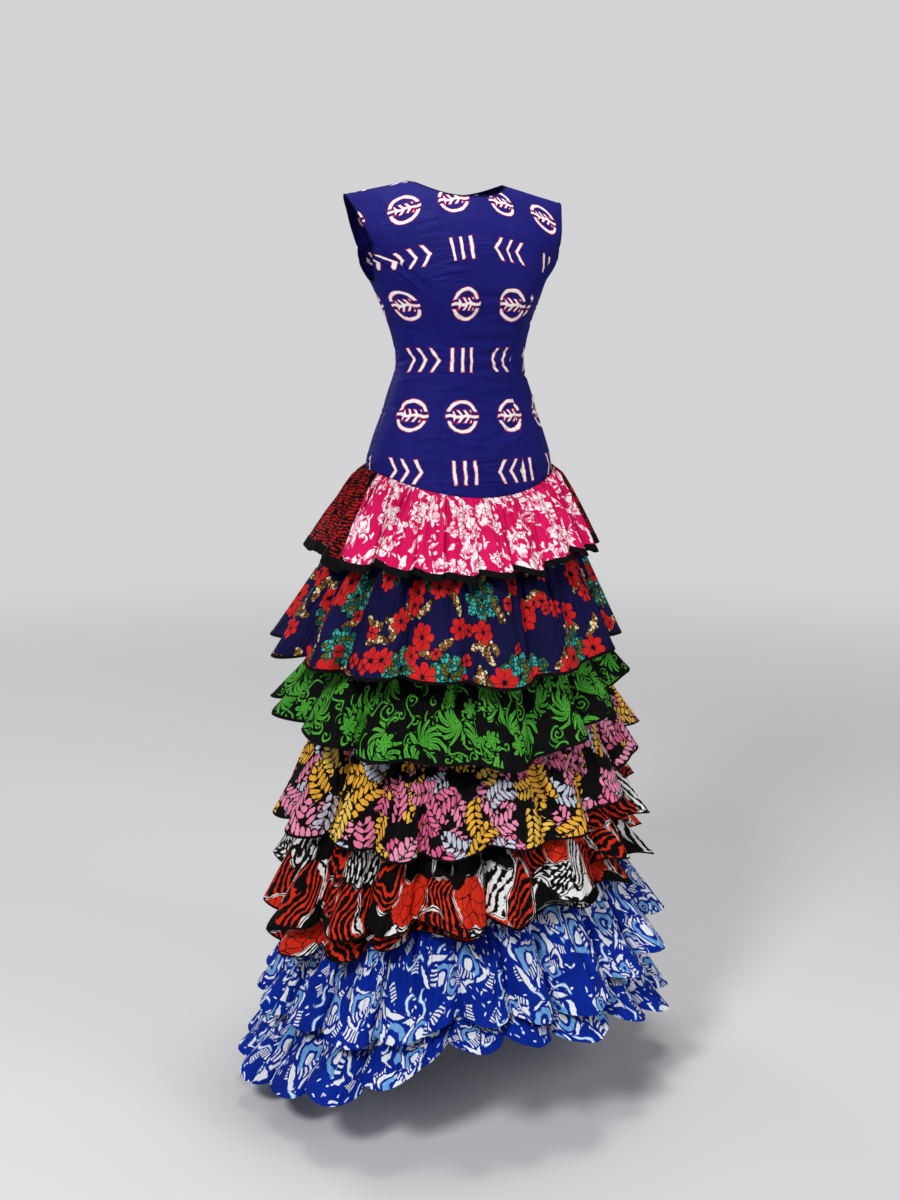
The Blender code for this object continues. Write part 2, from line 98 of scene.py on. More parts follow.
Flounce = namedtuple("Flounce", "name folds turn overlap hem_front hem_left hem_right hem_back "
                                "half_width front_depth back_depth sideways fold spread seam")
FLOUNCES = [Flounce(*row) for row in (
    ("1", 24, 0.3, 0.000, 0.877, 0.908, 0.900, 0.905, 0.233, 0.200, 0.215, -0.003, 0.013, 0.90, 73.0),
    ("2", 16, 1.1, 0.045, 0.719, 0.760, 0.748, 0.745, 0.277, 0.238, 0.252, -0.010, 0.024, 0.90, 90.0),
    ("3", 16, 2.0, 0.045, 0.594, 0.704, 0.640, 0.655, 0.282, 0.243, 0.258, -0.004, 0.023, 1.00, 90.0),
    ("4", 18, 0.6, 0.045, 0.462, 0.585, 0.470, 0.505, 0.290, 0.250, 0.268, 0.010, 0.026, 1.00, 90.0),
    ("5a", 18, 2.7, 0.045, 0.358, 0.498, 0.334, 0.400, 0.295, 0.256, 0.274, 0.003, 0.030, 0.85, 90.0),
    ("5b", 18, 2.7, 0.035, 0.345, 0.400, 0.282, 0.325, 0.306, 0.236, 0.286, 0.014, 0.026, 1.10, 90.0),
    ("6a", 20, 1.7, 0.035, 0.212, 0.262, 0.165, 0.185, 0.328, 0.284, 0.308, 0.020, 0.029, 1.05, 90.0),
    ("6b", 20, 1.7, 0.040, 0.186, 0.112, 0.056, 0.040, 0.345, 0.296, 0.325, 0.007, 0.034, 1.00, 90.0),
)]
WIDTH_SWAYS = ((3, 0.45), (5, 0.35))
FRONT_FOLD_DEPTH = 0.72
SIDE_FOLD_DEPTH = 0.36
DEPTH_SWAY = 0.13
DEPTH_SWAY_COUNT = 5
DEPTH_SWAY_PHASE = 3
FOLD_GROWTH = 0.92
FLOUNCE_SEAT = 0.0007
BAND_DEPTH = 0.016
FOUNDATION_HEM_DROP = 0.022

# Finer form of the shells
CLOTH = 0.0009               # thickness of the shells
SHARP_ANGLE = math.radians(60.0)
BODICE_ROWS = 150
NECK_COLUMNS = 14
SHOULDER_COLUMNS = 28
SIDE_COLUMNS = 37
COLUMNS_PER_FOLD = 26
FLOUNCE_ROWS = 30
FOUNDATION_COLUMNS = 90
FOUNDATION_ROWS = 40
CREASES_PER_FOLD = 4.5
CREASE_SEED = 40
CREASE_SLANTS = (-0.28, 0.28)
CREASE_WIDTHS = (0.014, 0.040)
CREASE_STARTS = (0.0, 0.65)
CREASE_LENGTHS = (0.20, 0.60)
CREASE_DEPTHS = (0.3, 1.0)   # as shares of the flounce's crease
CREASE_SIDES = (-1.0, 0.7)   # troughs, and ridges that are less high
WAVE_SEED = 100
GATHER_SOFTNESS = 0.22
GATHER_RISE = 0.6            # how far the gathers stand out as a whole
LOBE_MIDDLE = 0.2            # part of a flute's profile that leaves the hem at its height
GATHER_SWAY = 1.3            # how far the gathers stray from an even width
FRONT_BAND_DEPTH = 0.010     # how much of the first flounce's band shows at the front
BAND_ROWS = 8
BAND_PROUD = 0.0006
BAND_WALL = 0.0024
BINDING_ROWS = 5
BINDING_PROUD = 0.0005
BINDING_WALL = CLOTH + 0.0010
BINDING_BELOW = 0.0008       # how far a binding reaches below its hem
SEWN_HALF_WIDTH = 0.200      # of the foundation, where it sets the slant of the flounces
ROLLED_HEMS_FROM = 6         # first tier whose hem is rolled in its own cloth, not bound in black
BACK_PRINT_SHIFT = 3.0       # where the back halves and the tiers lie on the bolts' prints
TIER_PRINT_SHIFT = 0.7

# How each flounce drapes. gathers: small gathers in a fold; gather: their depth at the sewn edge;
# reach: the share over which they fade; widen: how far the flutes bulge over their valleys;
# soft: roundness of the valleys; point: how far the crests are sharp instead; calm: how much
# shallower the front is; uneven: how far the flutes stray from an even width; lobe, skew: drop of
# the hem on a crest and on one side of it; crease: depth of the drag creases; binding: its height
Drape = namedtuple("Drape", "gathers gather reach widen soft point calm uneven lobe skew crease "
                            "binding")
DRAPES = [Drape(*row) for row in (
    (2, 0.0060, 1.30, 0.85, 0.04, 0.00, 1.00, 0.8, 0.003, 0.006, 0.0030, 0.016),
    (3, 0.0064, 0.66, 0.30, 0.26, 0.10, 0.66, 1.0, 0.001, 0.001, 0.0060, 0.0042),
    (3, 0.0064, 0.66, 0.30, 0.26, 0.10, 0.70, 1.0, 0.001, 0.001, 0.0060, 0.0038),
    (3, 0.0066, 0.66, 0.36, 0.20, 0.15, 0.84, 1.1, 0.002, 0.003, 0.0086, 0.0028),
    (3, 0.0064, 0.66, 0.50, 0.05, 0.60, 1.00, 1.3, 0.006, 0.010, 0.0086, 0.0018),
    (3, 0.0058, 0.66, 0.50, 0.05, 0.60, 1.00, 1.3, 0.006, 0.010, 0.0074, 0.0018),
    (3, 0.0062, 0.70, 0.50, 0.10, 0.12, 1.00, 1.9, 0.006, 0.005, 0.0098, 0.0018),
    (3, 0.0062, 0.70, 0.52, 0.10, 0.12, 1.00, 1.9, 0.006, 0.005, 0.0098, 0.0020),
)]
# Slow waves round the body that make the flutes uneven: count, size of the shift of their phase;
# count, size of the change of their depth; count, size in metres of the rise and fall of the hem
PHASE_WAVES = ((4, 0.30), (7, 0.36), (9, 0.28), (13, 0.16))
DEPTH_WAVES = ((6, 0.26), (10, 0.26), (15, 0.24))
HEM_WAVES = ((3, 0.0036), (5, 0.0036), (8, 0.0034), (12, 0.0022))
DEEPEST = 1.12               # limits of the change of depth
SHALLOWEST = 0.40

# Camera at the photograph's viewing angle
CAMERA_TURN = math.radians(22.0)
CAMERA_DISTANCE = 2.22
CAMERA_HEIGHT = 1.24
CAMERA_PITCH = math.radians(6.0)
IMAGE_HEIGHT = 1200.0
FOCAL_LENGTH = 1357.0        # in pixels of the 900 by 1200 image
SHIFT_ACROSS = -5.0
SHIFT_UP = -119.4
SENSOR = 36.0

BACKDROP = (0.655, 0.655, 0.665)
AMBIENT = 0.28               # how much of the backdrop's light reaches the dress


def smooth_value(table, height, column):
    """Values of a column at heights, on a smooth curve through the rows, which run downwards."""
    rows = np.array([row.height for row in table])
    values = np.array([getattr(row, column) for row in table])
    slopes = np.gradient(values, rows)
    slopes[1:-1] = (values[2:] - values[:-2]) / (rows[2:] - rows[:-2])
    at = np.clip(height, rows[-1], rows[0])
    upper = np.clip(np.searchsorted(-rows, -at, side="right") - 1, 0, len(rows) - 2)
    span = rows[upper + 1] - rows[upper]
    t = (at - rows[upper]) / span
    return ((2 * t**3 - 3 * t**2 + 1) * values[upper]
            + (t**3 - 2 * t**2 + t) * slopes[upper] * span
            + (3 * t**2 - 2 * t**3) * values[upper + 1]
            + (t**3 - t**2) * slopes[upper + 1] * span)


def section_at(height):
    """The body section at heights: the bodice's table, or the cone of the foundation skirt."""
    hip = BODY[-1]
    share = np.maximum((hip.height - height) / (hip.height - CONE_FOOT.height), 0.0)
    columns = []
    for start, end, column in zip(hip[1:], CONE_FOOT[1:], Section._fields[1:]):
        body = smooth_value(BODY, height, column)
        columns.append(np.where(height >= hip.height, body, start + (end - start) * share))
    return Section(height, *columns)


def round_the_body(angle, front, left, right, back):
    """Blend four values set at the front, the two sides and the back."""
    middle = np.where(np.cos(angle) > 0, front, back)
    side = np.where(np.sin(angle) > 0, left, right)
    return middle * np.cos(angle)**2 + side * np.sin(angle)**2


def basque_height(angle):
    return round_the_body(angle, BASQUE_FRONT, BASQUE_SIDE, BASQUE_SIDE, BASQUE_BACK)


def shoulder_height(x):
    return NECK_POINT_HEIGHT - (np.abs(x) - NECK_HALF_WIDTH) * SHOULDER_SLOPE


def body_point(angle, height, inset=0.0):
    """Points of the bodice or foundation surface, moved in from the outside by inset."""
    section = section_at(height)
    x = (section.half_width - inset) * np.sin(angle)
    facing_front = np.cos(angle) > 0
    depth = np.where(facing_front, section.front_depth, section.back_depth)
    below_shoulder = np.maximum(shoulder_height(x) - height, 0.0)
    turned = np.maximum(1.0 - below_shoulder / SHOULDER_ROLL, 0.0)
    roll = np.sqrt(1.0 - turned**2)
    across = (np.abs(np.degrees(angle)) - BUST_ANGLE) / BUST_ANGLE_SPREAD
    upward = (height - BUST_HEIGHT) / BUST_HEIGHT_SPREAD
    bust = np.where(facing_front, BUST_FULLNESS * np.exp(-across**2 - upward**2), 0.0)
    y = -section.forward * roll - ((depth + bust - inset) * np.cos(angle)) * roll
    return np.stack([x + section.sideways, y, height - inset * turned - SHOULDER_HEIGHT], -1)


def hem_height(tier, angle):
    flounce = FLOUNCES[tier]
    return round_the_body(angle, flounce.hem_front, flounce.hem_left,
                          flounce.hem_right, flounce.hem_back)


def gathered_edge_height(tier, angle):
    if tier == 0:
        return basque_height(angle) - GAP
    return hem_height(tier - 1, angle) + FLOUNCES[tier].overlap


def fold_phase(flounce, angle):
    sways = sum(size * np.sin(count * angle + count * flounce.turn)
                for count, size in WIDTH_SWAYS)
    return flounce.folds * angle + sways


def fold_depth(flounce, angle):
    """How deep the folds are round the body, as a share of the flounce's fold."""
    return (FRONT_FOLD_DEPTH + SIDE_FOLD_DEPTH * np.sin(angle)**2
            + DEPTH_SWAY * np.sin(DEPTH_SWAY_COUNT * angle + DEPTH_SWAY_PHASE * flounce.turn))


def waves(table, angle, seed):
    """Sum of slow waves round the body, each with a drawn start."""
    draws = np.random.default_rng(seed)
    return sum(size * np.sin(count * angle + draws.uniform(0.0, 2 * math.pi))
               for count, size in table)


def drag_creases(tier, angle, share):
    """Soft, uneven troughs that run down from the gathers, and as uneven ridges between them."""
    flounce, drape = FLOUNCES[tier], DRAPES[tier]
    draws = np.random.default_rng(CREASE_SEED + tier)
    count = int(flounce.folds * CREASES_PER_FOLD)
    relief = np.zeros(np.broadcast(angle, share).shape)
    for k in range(count):
        middle = -math.pi + 2 * math.pi * (k + draws.uniform(0.0, 1.0)) / count
        slant = draws.uniform(*CREASE_SLANTS)
        width = draws.uniform(*CREASE_WIDTHS)
        start = draws.uniform(*CREASE_STARTS)
        length = draws.uniform(*CREASE_LENGTHS)
        depth = drape.crease * draws.uniform(*CREASE_DEPTHS) * draws.choice(CREASE_SIDES)
        off = angle - middle - slant * (share - start)
        off = (off + math.pi) % (2 * math.pi) - math.pi
        along = (share - start - length / 2) / (length / 2)
        relief += depth * np.exp(-(off / width)**2) * np.exp(-along**2 * 1.5)
    return relief


def full_circle(steps):
    return np.linspace(0.0, 2 * math.pi, steps, endpoint=False)


def flute(phase, soft):
    """Profile of the flutes, from about -1 in a sharp valley to 1 on a round crest."""
    turn = full_circle(200)
    mean = np.sqrt(np.cos(turn / 2)**2 + soft**2).mean()
    gain = 2.0 / (math.sqrt(1.0 + soft**2) - soft)
    return gain * (np.sqrt(np.cos(phase / 2)**2 + soft**2) - mean)


def flounce_surface(tier, angle, share):
    """Points on a flounce's outer face, share 0 at the gathered edge and 1 at the hem."""
    flounce, drape = FLOUNCES[tier], DRAPES[tier]
    top = gathered_edge_height(tier, angle)
    height = top + (hem_height(tier, angle) - top) * share
    edge = body_point(angle, top, -(FLOUNCE_SEAT + SKIRT_WALL))
    depth = np.where(np.cos(angle) > 0, flounce.front_depth, flounce.back_depth)
    flare = np.clip(share, 0.0, None) ** flounce.spread
    x = edge[..., 0] + (flounce.half_width * np.sin(angle) + flounce.sideways - edge[..., 0]) * flare
    y = edge[..., 1] + (-depth * np.cos(angle) - edge[..., 1]) * flare
    outward = unit(np.stack([depth * np.sin(angle), -flounce.half_width * np.cos(angle)], -1))
    along = np.stack([-outward[..., 1], outward[..., 0]], -1)

    seed = WAVE_SEED + int(flounce.name[0])
    phase = fold_phase(flounce, angle) + drape.uneven * waves(PHASE_WAVES, angle, seed)
    change = np.clip(1.0 + waves(DEPTH_WAVES, angle, seed + 10), SHALLOWEST, DEEPEST)
    calm = 1.0 - (1.0 - drape.calm) * np.clip(np.cos(angle), 0.0, 1.0)
    uneven = fold_depth(flounce, angle) * change * calm
    grown = np.clip(share, 0.0, None) ** FOLD_GROWTH
    profile = ((1.0 - drape.point) * flute(phase, drape.soft)
               - drape.point * flute(phase + math.pi, drape.soft))
    fold = flounce.fold * grown * uneven * profile
    bulge = flounce.fold * grown * uneven * drape.widen * np.sin(phase)

    gather_phase = (drape.gathers * phase
                    + GATHER_SWAY * np.sin(2.0 * phase + 3.0 * flounce.turn))
    fading = np.exp(-(share / drape.reach)**2) * np.minimum(1.0, 0.3 + 8.0 * share)
    gather = drape.gather * fading * (flute(gather_phase, GATHER_SOFTNESS) + GATHER_RISE)

    out = fold + gather + drag_creases(tier, angle, share)
    x = x + outward[..., 0] * out + along[..., 0] * bulge
    y = y + outward[..., 1] * out + along[..., 1] * bulge
    lobe = (drape.lobe * (profile - LOBE_MIDDLE) + drape.skew * np.sin(phase)) * uneven
    lobe = (lobe + waves(HEM_WAVES, angle, seed + 20)) * grown**2
    return np.stack([x, y, height - lobe - SHOULDER_HEIGHT], -1)


def grid_normals(points):
    """Outward unit normals of a grid whose rows run down or up and whose angles grow along a row."""
    normals = unit(np.cross(np.gradient(points, axis=1), np.gradient(points, axis=0)))
    if (normals * points * (1.0, 1.0, 0.0)).sum() < 0:
        normals = -normals
    return normals


def unit(vectors):
    return vectors / np.maximum(np.linalg.norm(vectors, axis=-1, keepdims=True), 1e-12)


def lengths_along(points, axis):
    """Running length along the rows (axis 1) or the columns (axis 0) of a grid."""
    steps = np.linalg.norm(np.diff(points, axis=axis), axis=-1)
    pad = [(0, 0), (0, 0)]
    pad[axis] = (1, 0)
    return np.pad(np.cumsum(steps, axis=axis), pad)


def add_object(name, data):
    """A new object in the scene."""
    made = bpy.data.objects.new(name, data)
    bpy.context.scene.collection.objects.link(made)
    return made


def add_mesh(name, vertices, faces, uv, slot, cloth=None):
    """A piece of the dress from numbered vertices, with a cloth map in metres. Its material is
    that of its slot, or another cloth's."""
    mesh = bpy.data.meshes.new(name)
    mesh.from_pydata(vertices.tolist(), [], [tuple(int(k) for k in face) for face in faces])
    mesh.update()
    if uv is not None:
        layer = mesh.uv_layers.new(name="Cloth")
        corners = np.empty(len(mesh.loops), np.int32)
        mesh.loops.foreach_get("vertex_index", corners)
        layer.data.foreach_set("uv", uv[corners].astype(np.float32).ravel())
    mesh.materials.append(MATERIALS[cloth or slot])
    mesh.shade_smooth()
    mesh.set_sharp_from_angle(angle=SHARP_ANGLE)
    piece = add_object(name, mesh)
    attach(piece, "root")
    return piece


def make_shell(name, points, uv, slot, cloth=None, proud=0.0, thickness=CLOTH):
    """Closed thin shell whose outer face is a grid of points, moved out by proud."""
    rows, columns = points.shape[:2]
    normals = grid_normals(points)
    outer = points + normals * proud
    inner = outer - normals * thickness
    vertices = np.concatenate([outer.reshape(-1, 3), inner.reshape(-1, 3)])
    number = np.arange(rows * columns).reshape(rows, columns)
    back = number + rows * columns

    def quads(a, b, c, d):
        return np.stack([a.ravel(), b.ravel(), c.ravel(), d.ravel()], 1)

    faces = [
        quads(number[:-1, :-1], number[:-1, 1:], number[1:, 1:], number[1:, :-1]),
        quads(back[:-1, :-1], back[1:, :-1], back[1:, 1:], back[:-1, 1:]),
        quads(number[0, 1:], number[0, :-1], back[0, :-1], back[0, 1:]),
        quads(number[-1, :-1], number[-1, 1:], back[-1, 1:], back[-1, :-1]),
        quads(number[:-1, 0], number[1:, 0], back[1:, 0], back[:-1, 0]),
        quads(number[1:, -1], number[:-1, -1], back[:-1, -1], back[1:, -1]),
    ]
    faces = np.concatenate(faces)
    corner = outer[0, 0]
    if np.dot(np.cross(outer[0, 1] - corner, outer[1, 0] - corner), normals[0, 0]) < 0:
        faces = faces[:, ::-1]
    return add_mesh(name, vertices, faces, np.concatenate([uv.reshape(-1, 2)] * 2), slot, cloth)


# Printed cottons

INK_EDGE = 0.0003            # softness of a printed edge, and of a softer one
SOFT_EDGE = 0.0004
DRAWN_TURN = 6.28            # turn in radians of a motif whose draw is 1
DROPPED = 0.05               # added to a motif's signed distance, it leaves the motif out
THREAD_PITCH = 0.0011


def set_inputs(node, values):
    """Set inputs of a node, each to a value or linked to a socket or a field."""
    for key, value in values.items():
        if isinstance(value, Field):
            value = value.socket
        if isinstance(value, bpy.types.NodeSocket):
            node.id_data.links.new(value, node.inputs[key])
        else:
            node.inputs[key].default_value = value


def add_node(tree, kind, values, **settings):
    node = tree.nodes.new("ShaderNode" + kind)
    for setting, choice in settings.items():
        setattr(node, setting, choice)
    set_inputs(node, values)
    return node


class Field:
    """A number at each point of the cloth, as an output socket of a material's node."""

    def __init__(self, socket):
        self.socket = socket
        self.tree = socket.id_data

    def maths(self, operation, *others):
        inputs = dict(enumerate((self, *others)))
        return Field(add_node(self.tree, "Math", inputs, operation=operation).outputs[0])

    __add__ = partialmethod(maths, "ADD")
    __sub__ = partialmethod(maths, "SUBTRACT")
    __mul__ = partialmethod(maths, "MULTIPLY")
    __truediv__ = partialmethod(maths, "DIVIDE")
    __pow__ = partialmethod(maths, "POWER")
    __neg__ = partialmethod(maths, "MULTIPLY", -1.0)
    size = partialmethod(maths, "ABSOLUTE")
    sine = partialmethod(maths, "SINE")
    cosine = partialmethod(maths, "COSINE")
    whole = partialmethod(maths, "ROUND")
    least = partialmethod(maths, "MINIMUM")
    most = partialmethod(maths, "MAXIMUM")
    over = partialmethod(maths, "GREATER_THAN")

    def flipped(self):
        """1 minus the field."""
        return (-self) + 1.0

    def centred(self, pitch):
        """Offset from the nearest multiple of a pitch."""
        return self - (self / pitch).whole() * pitch

    def dropped(self, limit):
        """Distance to add to the motifs whose draw is over a limit, so that they're left out."""
        return self.over(limit) * DROPPED

    def inside(self, soft):
        """1 where a signed distance is below 0, 0 where it is above, with a soft edge."""
        limits = {"Value": self, "From Min": -soft, "From Max": soft, "To Min": 1.0, "To Max": 0.0}
        node = add_node(self.tree, "MapRange", limits, interpolation_type="SMOOTHSTEP")
        return Field(node.outputs[0])


def parts_of(socket):
    return [Field(part) for part in add_node(socket.id_data, "SeparateXYZ", {0: socket}).outputs]


class Place:
    """A place on the cloth: across and up, in metres."""

    def __init__(self, across, up):
        self.across = across
        self.up = up

    def seeded(self, seed):
        """The same place in another part of the textures."""
        return Place(self.across + seed * 0.37, self.up + seed * 0.73)

    def turned(self, angle):
        cosine, sine = angle.cosine(), angle.sine()
        return Place(self.across * cosine - self.up * sine, self.across * sine + self.up * cosine)

    def distance(self):
        return (self.across * self.across + self.up * self.up).maths("SQRT")

    def bearing(self):
        return self.up.maths("ARCTAN2", self.across)

    def texture(self, kind, size, values, **settings):
        """A texture node whose spots or cells have about that size."""
        tree = self.across.tree
        vector = add_node(tree, "CombineXYZ", {0: self.across, 1: self.up}).outputs[0]
        return add_node(tree, kind, {"Vector": vector, "Scale": 1.0 / size, **values}, **settings)

    def noise_node(self, size, detail):
        return self.texture("TexNoise", size, {"Detail": detail}, noise_dimensions="2D")

    def noise(self, size, detail=2.0):
        """Smooth noise from 0 to 1."""
        return Field(self.noise_node(size, detail).outputs[0])

    def wobbled(self, size, amount):
        """Moved about as a hand-drawn line is."""
        first, second, _ = parts_of(self.noise_node(size, 1.0).outputs[1])
        return Place(self.across + (first - 0.5) * amount, self.up + (second - 0.5) * amount)

    def scattered(self, pitch, jitter, seed):
        """Place round the nearest of some scattered points, and three draws that go with it."""
        moved = self.seeded(seed)
        node = moved.texture("TexVoronoi", pitch, {"Randomness": jitter}, voronoi_dimensions="2D")
        across, up, _ = parts_of(node.outputs["Position"])
        return Place(moved.across - across, moved.up - up), parts_of(node.outputs["Color"])

    def strewn(self, pitch, jitter, seed):
        """As scattered, turned by the first draw, and the other two draws."""
        local, (turn, second, third) = self.scattered(pitch, jitter, seed)
        return local.turned(turn * DRAWN_TURN), second, third

    def cracks(self, pitch, jitter=0.9):
        """Distance to the nearest edge between scattered cells, in metres."""
        node = self.texture("TexVoronoi", pitch, {"Randomness": jitter}, voronoi_dimensions="2D",
                            feature="DISTANCE_TO_EDGE")
        return Field(node.outputs["Distance"]) * pitch


def laid_over(below, colour, mask):
    """A colour laid over another one where the mask is 1."""
    first, second = [(*value, 1.0) if isinstance(value, tuple) else value
                     for value in (below, colour)]
    inputs = {"Factor": mask, 6: first, 7: second}
    return add_node(mask.tree, "Mix", inputs, data_type="RGBA", clamp_factor=True).outputs[2]


def printed(below, *inks, soft=INK_EDGE):
    """Colours printed over another one in turn, each where its signed distance is below 0."""
    for colour, distance in inks:
        below = laid_over(below, colour, distance.inside(soft))
    return below


def srgb(red, green, blue):
    """A colour given as it shows in the photograph, 0 to 255, as linear values."""
    def linear(value):
        value /= 255.0
        return value / 12.92 if value <= 0.04045 else ((value + 0.055) / 1.055)**2.4
    return (linear(red), linear(green), linear(blue))


Hand = namedtuple("Hand", "roughness crumple gathers pulls")
BODICE_HAND = Hand(0.62, 0.30, 0.0, 1.0)
PLEATED_HAND = Hand(0.72, 0.40, 1.2, 0.0)
FLOUNCE_HAND = Hand(0.72, 0.80, 1.0, 0.0)
RUMPLED_HAND = Hand(0.70, 1.50, 1.3, 0.0)
PLAIN_HAND = Hand(0.82, 0.15, 0.0, 0.0)


def new_material(name):
    material = bpy.data.materials.new(name)
    material.use_nodes = True
    return material, material.node_tree, material.node_tree.nodes["Principled BSDF"]


def make_cotton(name, painted, hand):
    """Cotton whose colour is worked out by painted(place). Its hand is its roughness, how far it's
    crumpled, and how strong the fine gathers below its top edge and its level pulls are."""
    material, tree, shader = new_material(name)
    across, up, _ = parts_of(add_node(tree, "UVMap", {}, uv_map="Cloth").outputs[0])
    place = Place(across, up)
    thread = 2 * math.pi / THREAD_PITCH
    weave = (across * thread).sine() * (up * thread).sine()
    slubs = Place(across * 0.35, up).noise(0.0022, 3.0)
    crumples = Place(across, up * 0.55).noise(0.034, 4.0)
    height = weave * 0.00005 + slubs * 0.0002 + crumples * 0.012 * hand.crumple
    if hand.gathers:
        fine = Place(across, up * 0.10).noise(0.0085)
        fading = (up * 11.0).maths("EXPONENT") * 0.0070 + 0.0030
        height = height + fine * fading * hand.gathers
    if hand.pulls:
        level = Place(across * 0.18, up).noise(0.0100)
        where = place.noise(0.07, 1.0)
        height = height + level * (where - 0.46).most(0.0) * 0.026 * hand.pulls
    bump = add_node(tree, "Bump", {"Strength": 0.9, "Distance": 1.0, "Height": height})
    set_inputs(shader, {"Base Color": painted(place), "Roughness": hand.roughness,
                        "Specular IOR Level": 0.08, "Normal": bump.outputs[0]})
    return material


def flower(place, radius, petals, cut):
    """Signed distance of a flower with round petals."""
    lobes = (place.bearing() * (petals / 2)).cosine().size() ** 0.5
    return place.distance() - (lobes * cut + (1.0 - cut)) * radius


def petal_lines(place, petals, width):
    """Signed distance of the lines along the middles of a flower's petals."""
    return (place.bearing() * (petals / 2)).sine().size() * place.distance() - width


def petal_gaps(place, petals, width):
    """Signed distance of the lines between a flower's petals."""
    return (place.bearing() * (petals / 2)).cosine().size() * place.distance() - width


def stroke(distance, width):
    return distance.size() - width / 2


def ink_spread(place, size, amount):
    """Small uneven offset for a printed edge."""
    return (place.noise(size) - 0.5) * amount


def leaf_blot(place, length, width):
    """Signed distance of a lens shape, in steps of about its width."""
    return (Place(place.across / length, place.up / width).distance() - 1.0) * width


def curl(place, reach, pitch, width, handed, turn):
    """Signed distance of a spiral line that ends at reach."""
    radius = place.distance()
    winding = place.bearing() * handed / (2 * math.pi) + turn
    return stroke((radius / pitch - winding).centred(1.0) * pitch, width).most(radius - reach)


def cobbles(place, pitch, gap, first, second, third):
    """Colour of cobbles in three drawn tones, and the signed distance of the gaps round them."""
    _, (draw, _, _) = place.scattered(pitch, 0.9, 0.0)
    colour = laid_over(laid_over(first, second, draw.over(0.40)), third, draw.over(0.70))
    return colour, place.cracks(pitch) - gap


BLACK = srgb(7, 7, 8)
WHITE = srgb(246, 244, 242)
STAMP_PITCH = 0.090
STAMP_RISE = 0.088
STAMP_ROW = 1.030


def paint_bodice(place):
    """Stamped rows of broken rings, each with a fishbone in it, and of chevrons and bars."""
    drawn = place.wobbled(0.02, 0.003)
    row = ((drawn.up - STAMP_ROW) / STAMP_RISE).whole()
    up = drawn.up - STAMP_ROW - row * STAMP_RISE
    column = (drawn.across / STAMP_PITCH).whole()
    across = drawn.across - column * STAMP_PITCH
    ring_row = row.centred(2.0).size()
    side_column = column.centred(2.0).size()
    pointing = -(column.centred(4.0).maths("SIGN"))

    ring = stroke(Place(across, up).distance() - 0.0235, 0.0050).most(-(up.size() - 0.0074))
    bones = stroke((across + up.size() * 0.75).centred(0.0108), 0.0040)
    bones = bones.most(up.size() - 0.0095).most(across.size() - 0.0150)
    spine = stroke(up - (across * 230.0).sine() * 0.0012, 0.0040).most(across.size() - 0.0270)
    rings = ring.least(bones).least(spine)

    arrow = across * pointing + up.size() * 0.62 - 0.011
    chevron = stroke(arrow.centred(0.0215), 0.0052).most(arrow.size() - 0.032)
    bars = stroke((across + up * 0.04).centred(0.0172), 0.0048).most(across.size() - 0.0215)
    lines = (chevron * side_column + bars * side_column.flipped()).most(up.size() - 0.0185)

    distance = rings * ring_row + lines * ring_row.flipped()
    ground = laid_over(srgb(20, 20, 97), srgb(28, 27, 119), place.noise(0.12, 3.0))
    halo = distance - 0.0010 + ink_spread(place, 0.007, 0.0036)
    return printed(ground, (srgb(202, 34, 52), halo),
                   (WHITE, distance + ink_spread(place, 0.004, 0.0018)))


def paint_pink(place):
    """White flowers, leaves and flecks with pink veins on crimson pink."""
    drawn = place.wobbled(0.016, 0.010).wobbled(0.006, 0.0026)
    ground = laid_over(srgb(202, 6, 80), srgb(230, 26, 106), place.noise(0.05))
    pale = laid_over(srgb(254, 247, 250), srgb(246, 170, 200),
                     (-(place.noise(0.016) - 0.60)).inside(0.04))
    worn = (drawn.noise(0.013, 3.0) - 0.57) * 0.03
    local, _, draw = drawn.strewn(0.027, 0.95, 3.0)
    leaf = leaf_blot(local, 0.0120, 0.0042).most(worn) + draw.dropped(0.55)
    colour = printed(ground, (pale, leaf))
    for pitch, seed, petals, radius, limit in (
            (0.058, 1.0, 5, 0.0240, 0.82), (0.043, 2.0, 4, 0.0150, 0.60)):
        local, swell, draw = drawn.strewn(pitch, 0.85, seed)
        body = (flower(local, radius, petals, 0.6) + (swell - 0.5) * radius * 0.5).most(worn)
        body = body + draw.dropped(limit)
        rim = stroke(local.distance() - radius * 0.38, 0.0018)
        veins = petal_lines(local, petals, 0.0009).least(rim)
        colour = printed(colour, (ground, body - 0.0022), (pale, body),
                         (ground, veins.most(body)), soft=SOFT_EDGE)
    local, _, draw = drawn.strewn(0.0150, 0.95, 4.0)
    return printed(colour, (pale, leaf_blot(local, 0.0042, 0.0015) + draw.dropped(0.45)))


def paint_broken_lines(place):
    """Rows of short red strokes on black."""
    drawn = place.wobbled(0.015, 0.008)
    row = (drawn.up / 0.0058).whole()
    across = (drawn.across + (row * 2.4).sine() * 0.02).centred(0.022)
    strokes = stroke(drawn.up - row * 0.0058, 0.0030).most(across.size() - 0.0090)
    strokes = strokes + (place.noise(0.014) - 0.5) * 0.005
    _, (draw, _, _) = drawn.wobbled(0.012, 0.016).scattered(0.034, 0.9, 3.0)
    return laid_over(printed(BLACK, (srgb(168, 26, 28), strokes)), BLACK, draw.over(0.84))


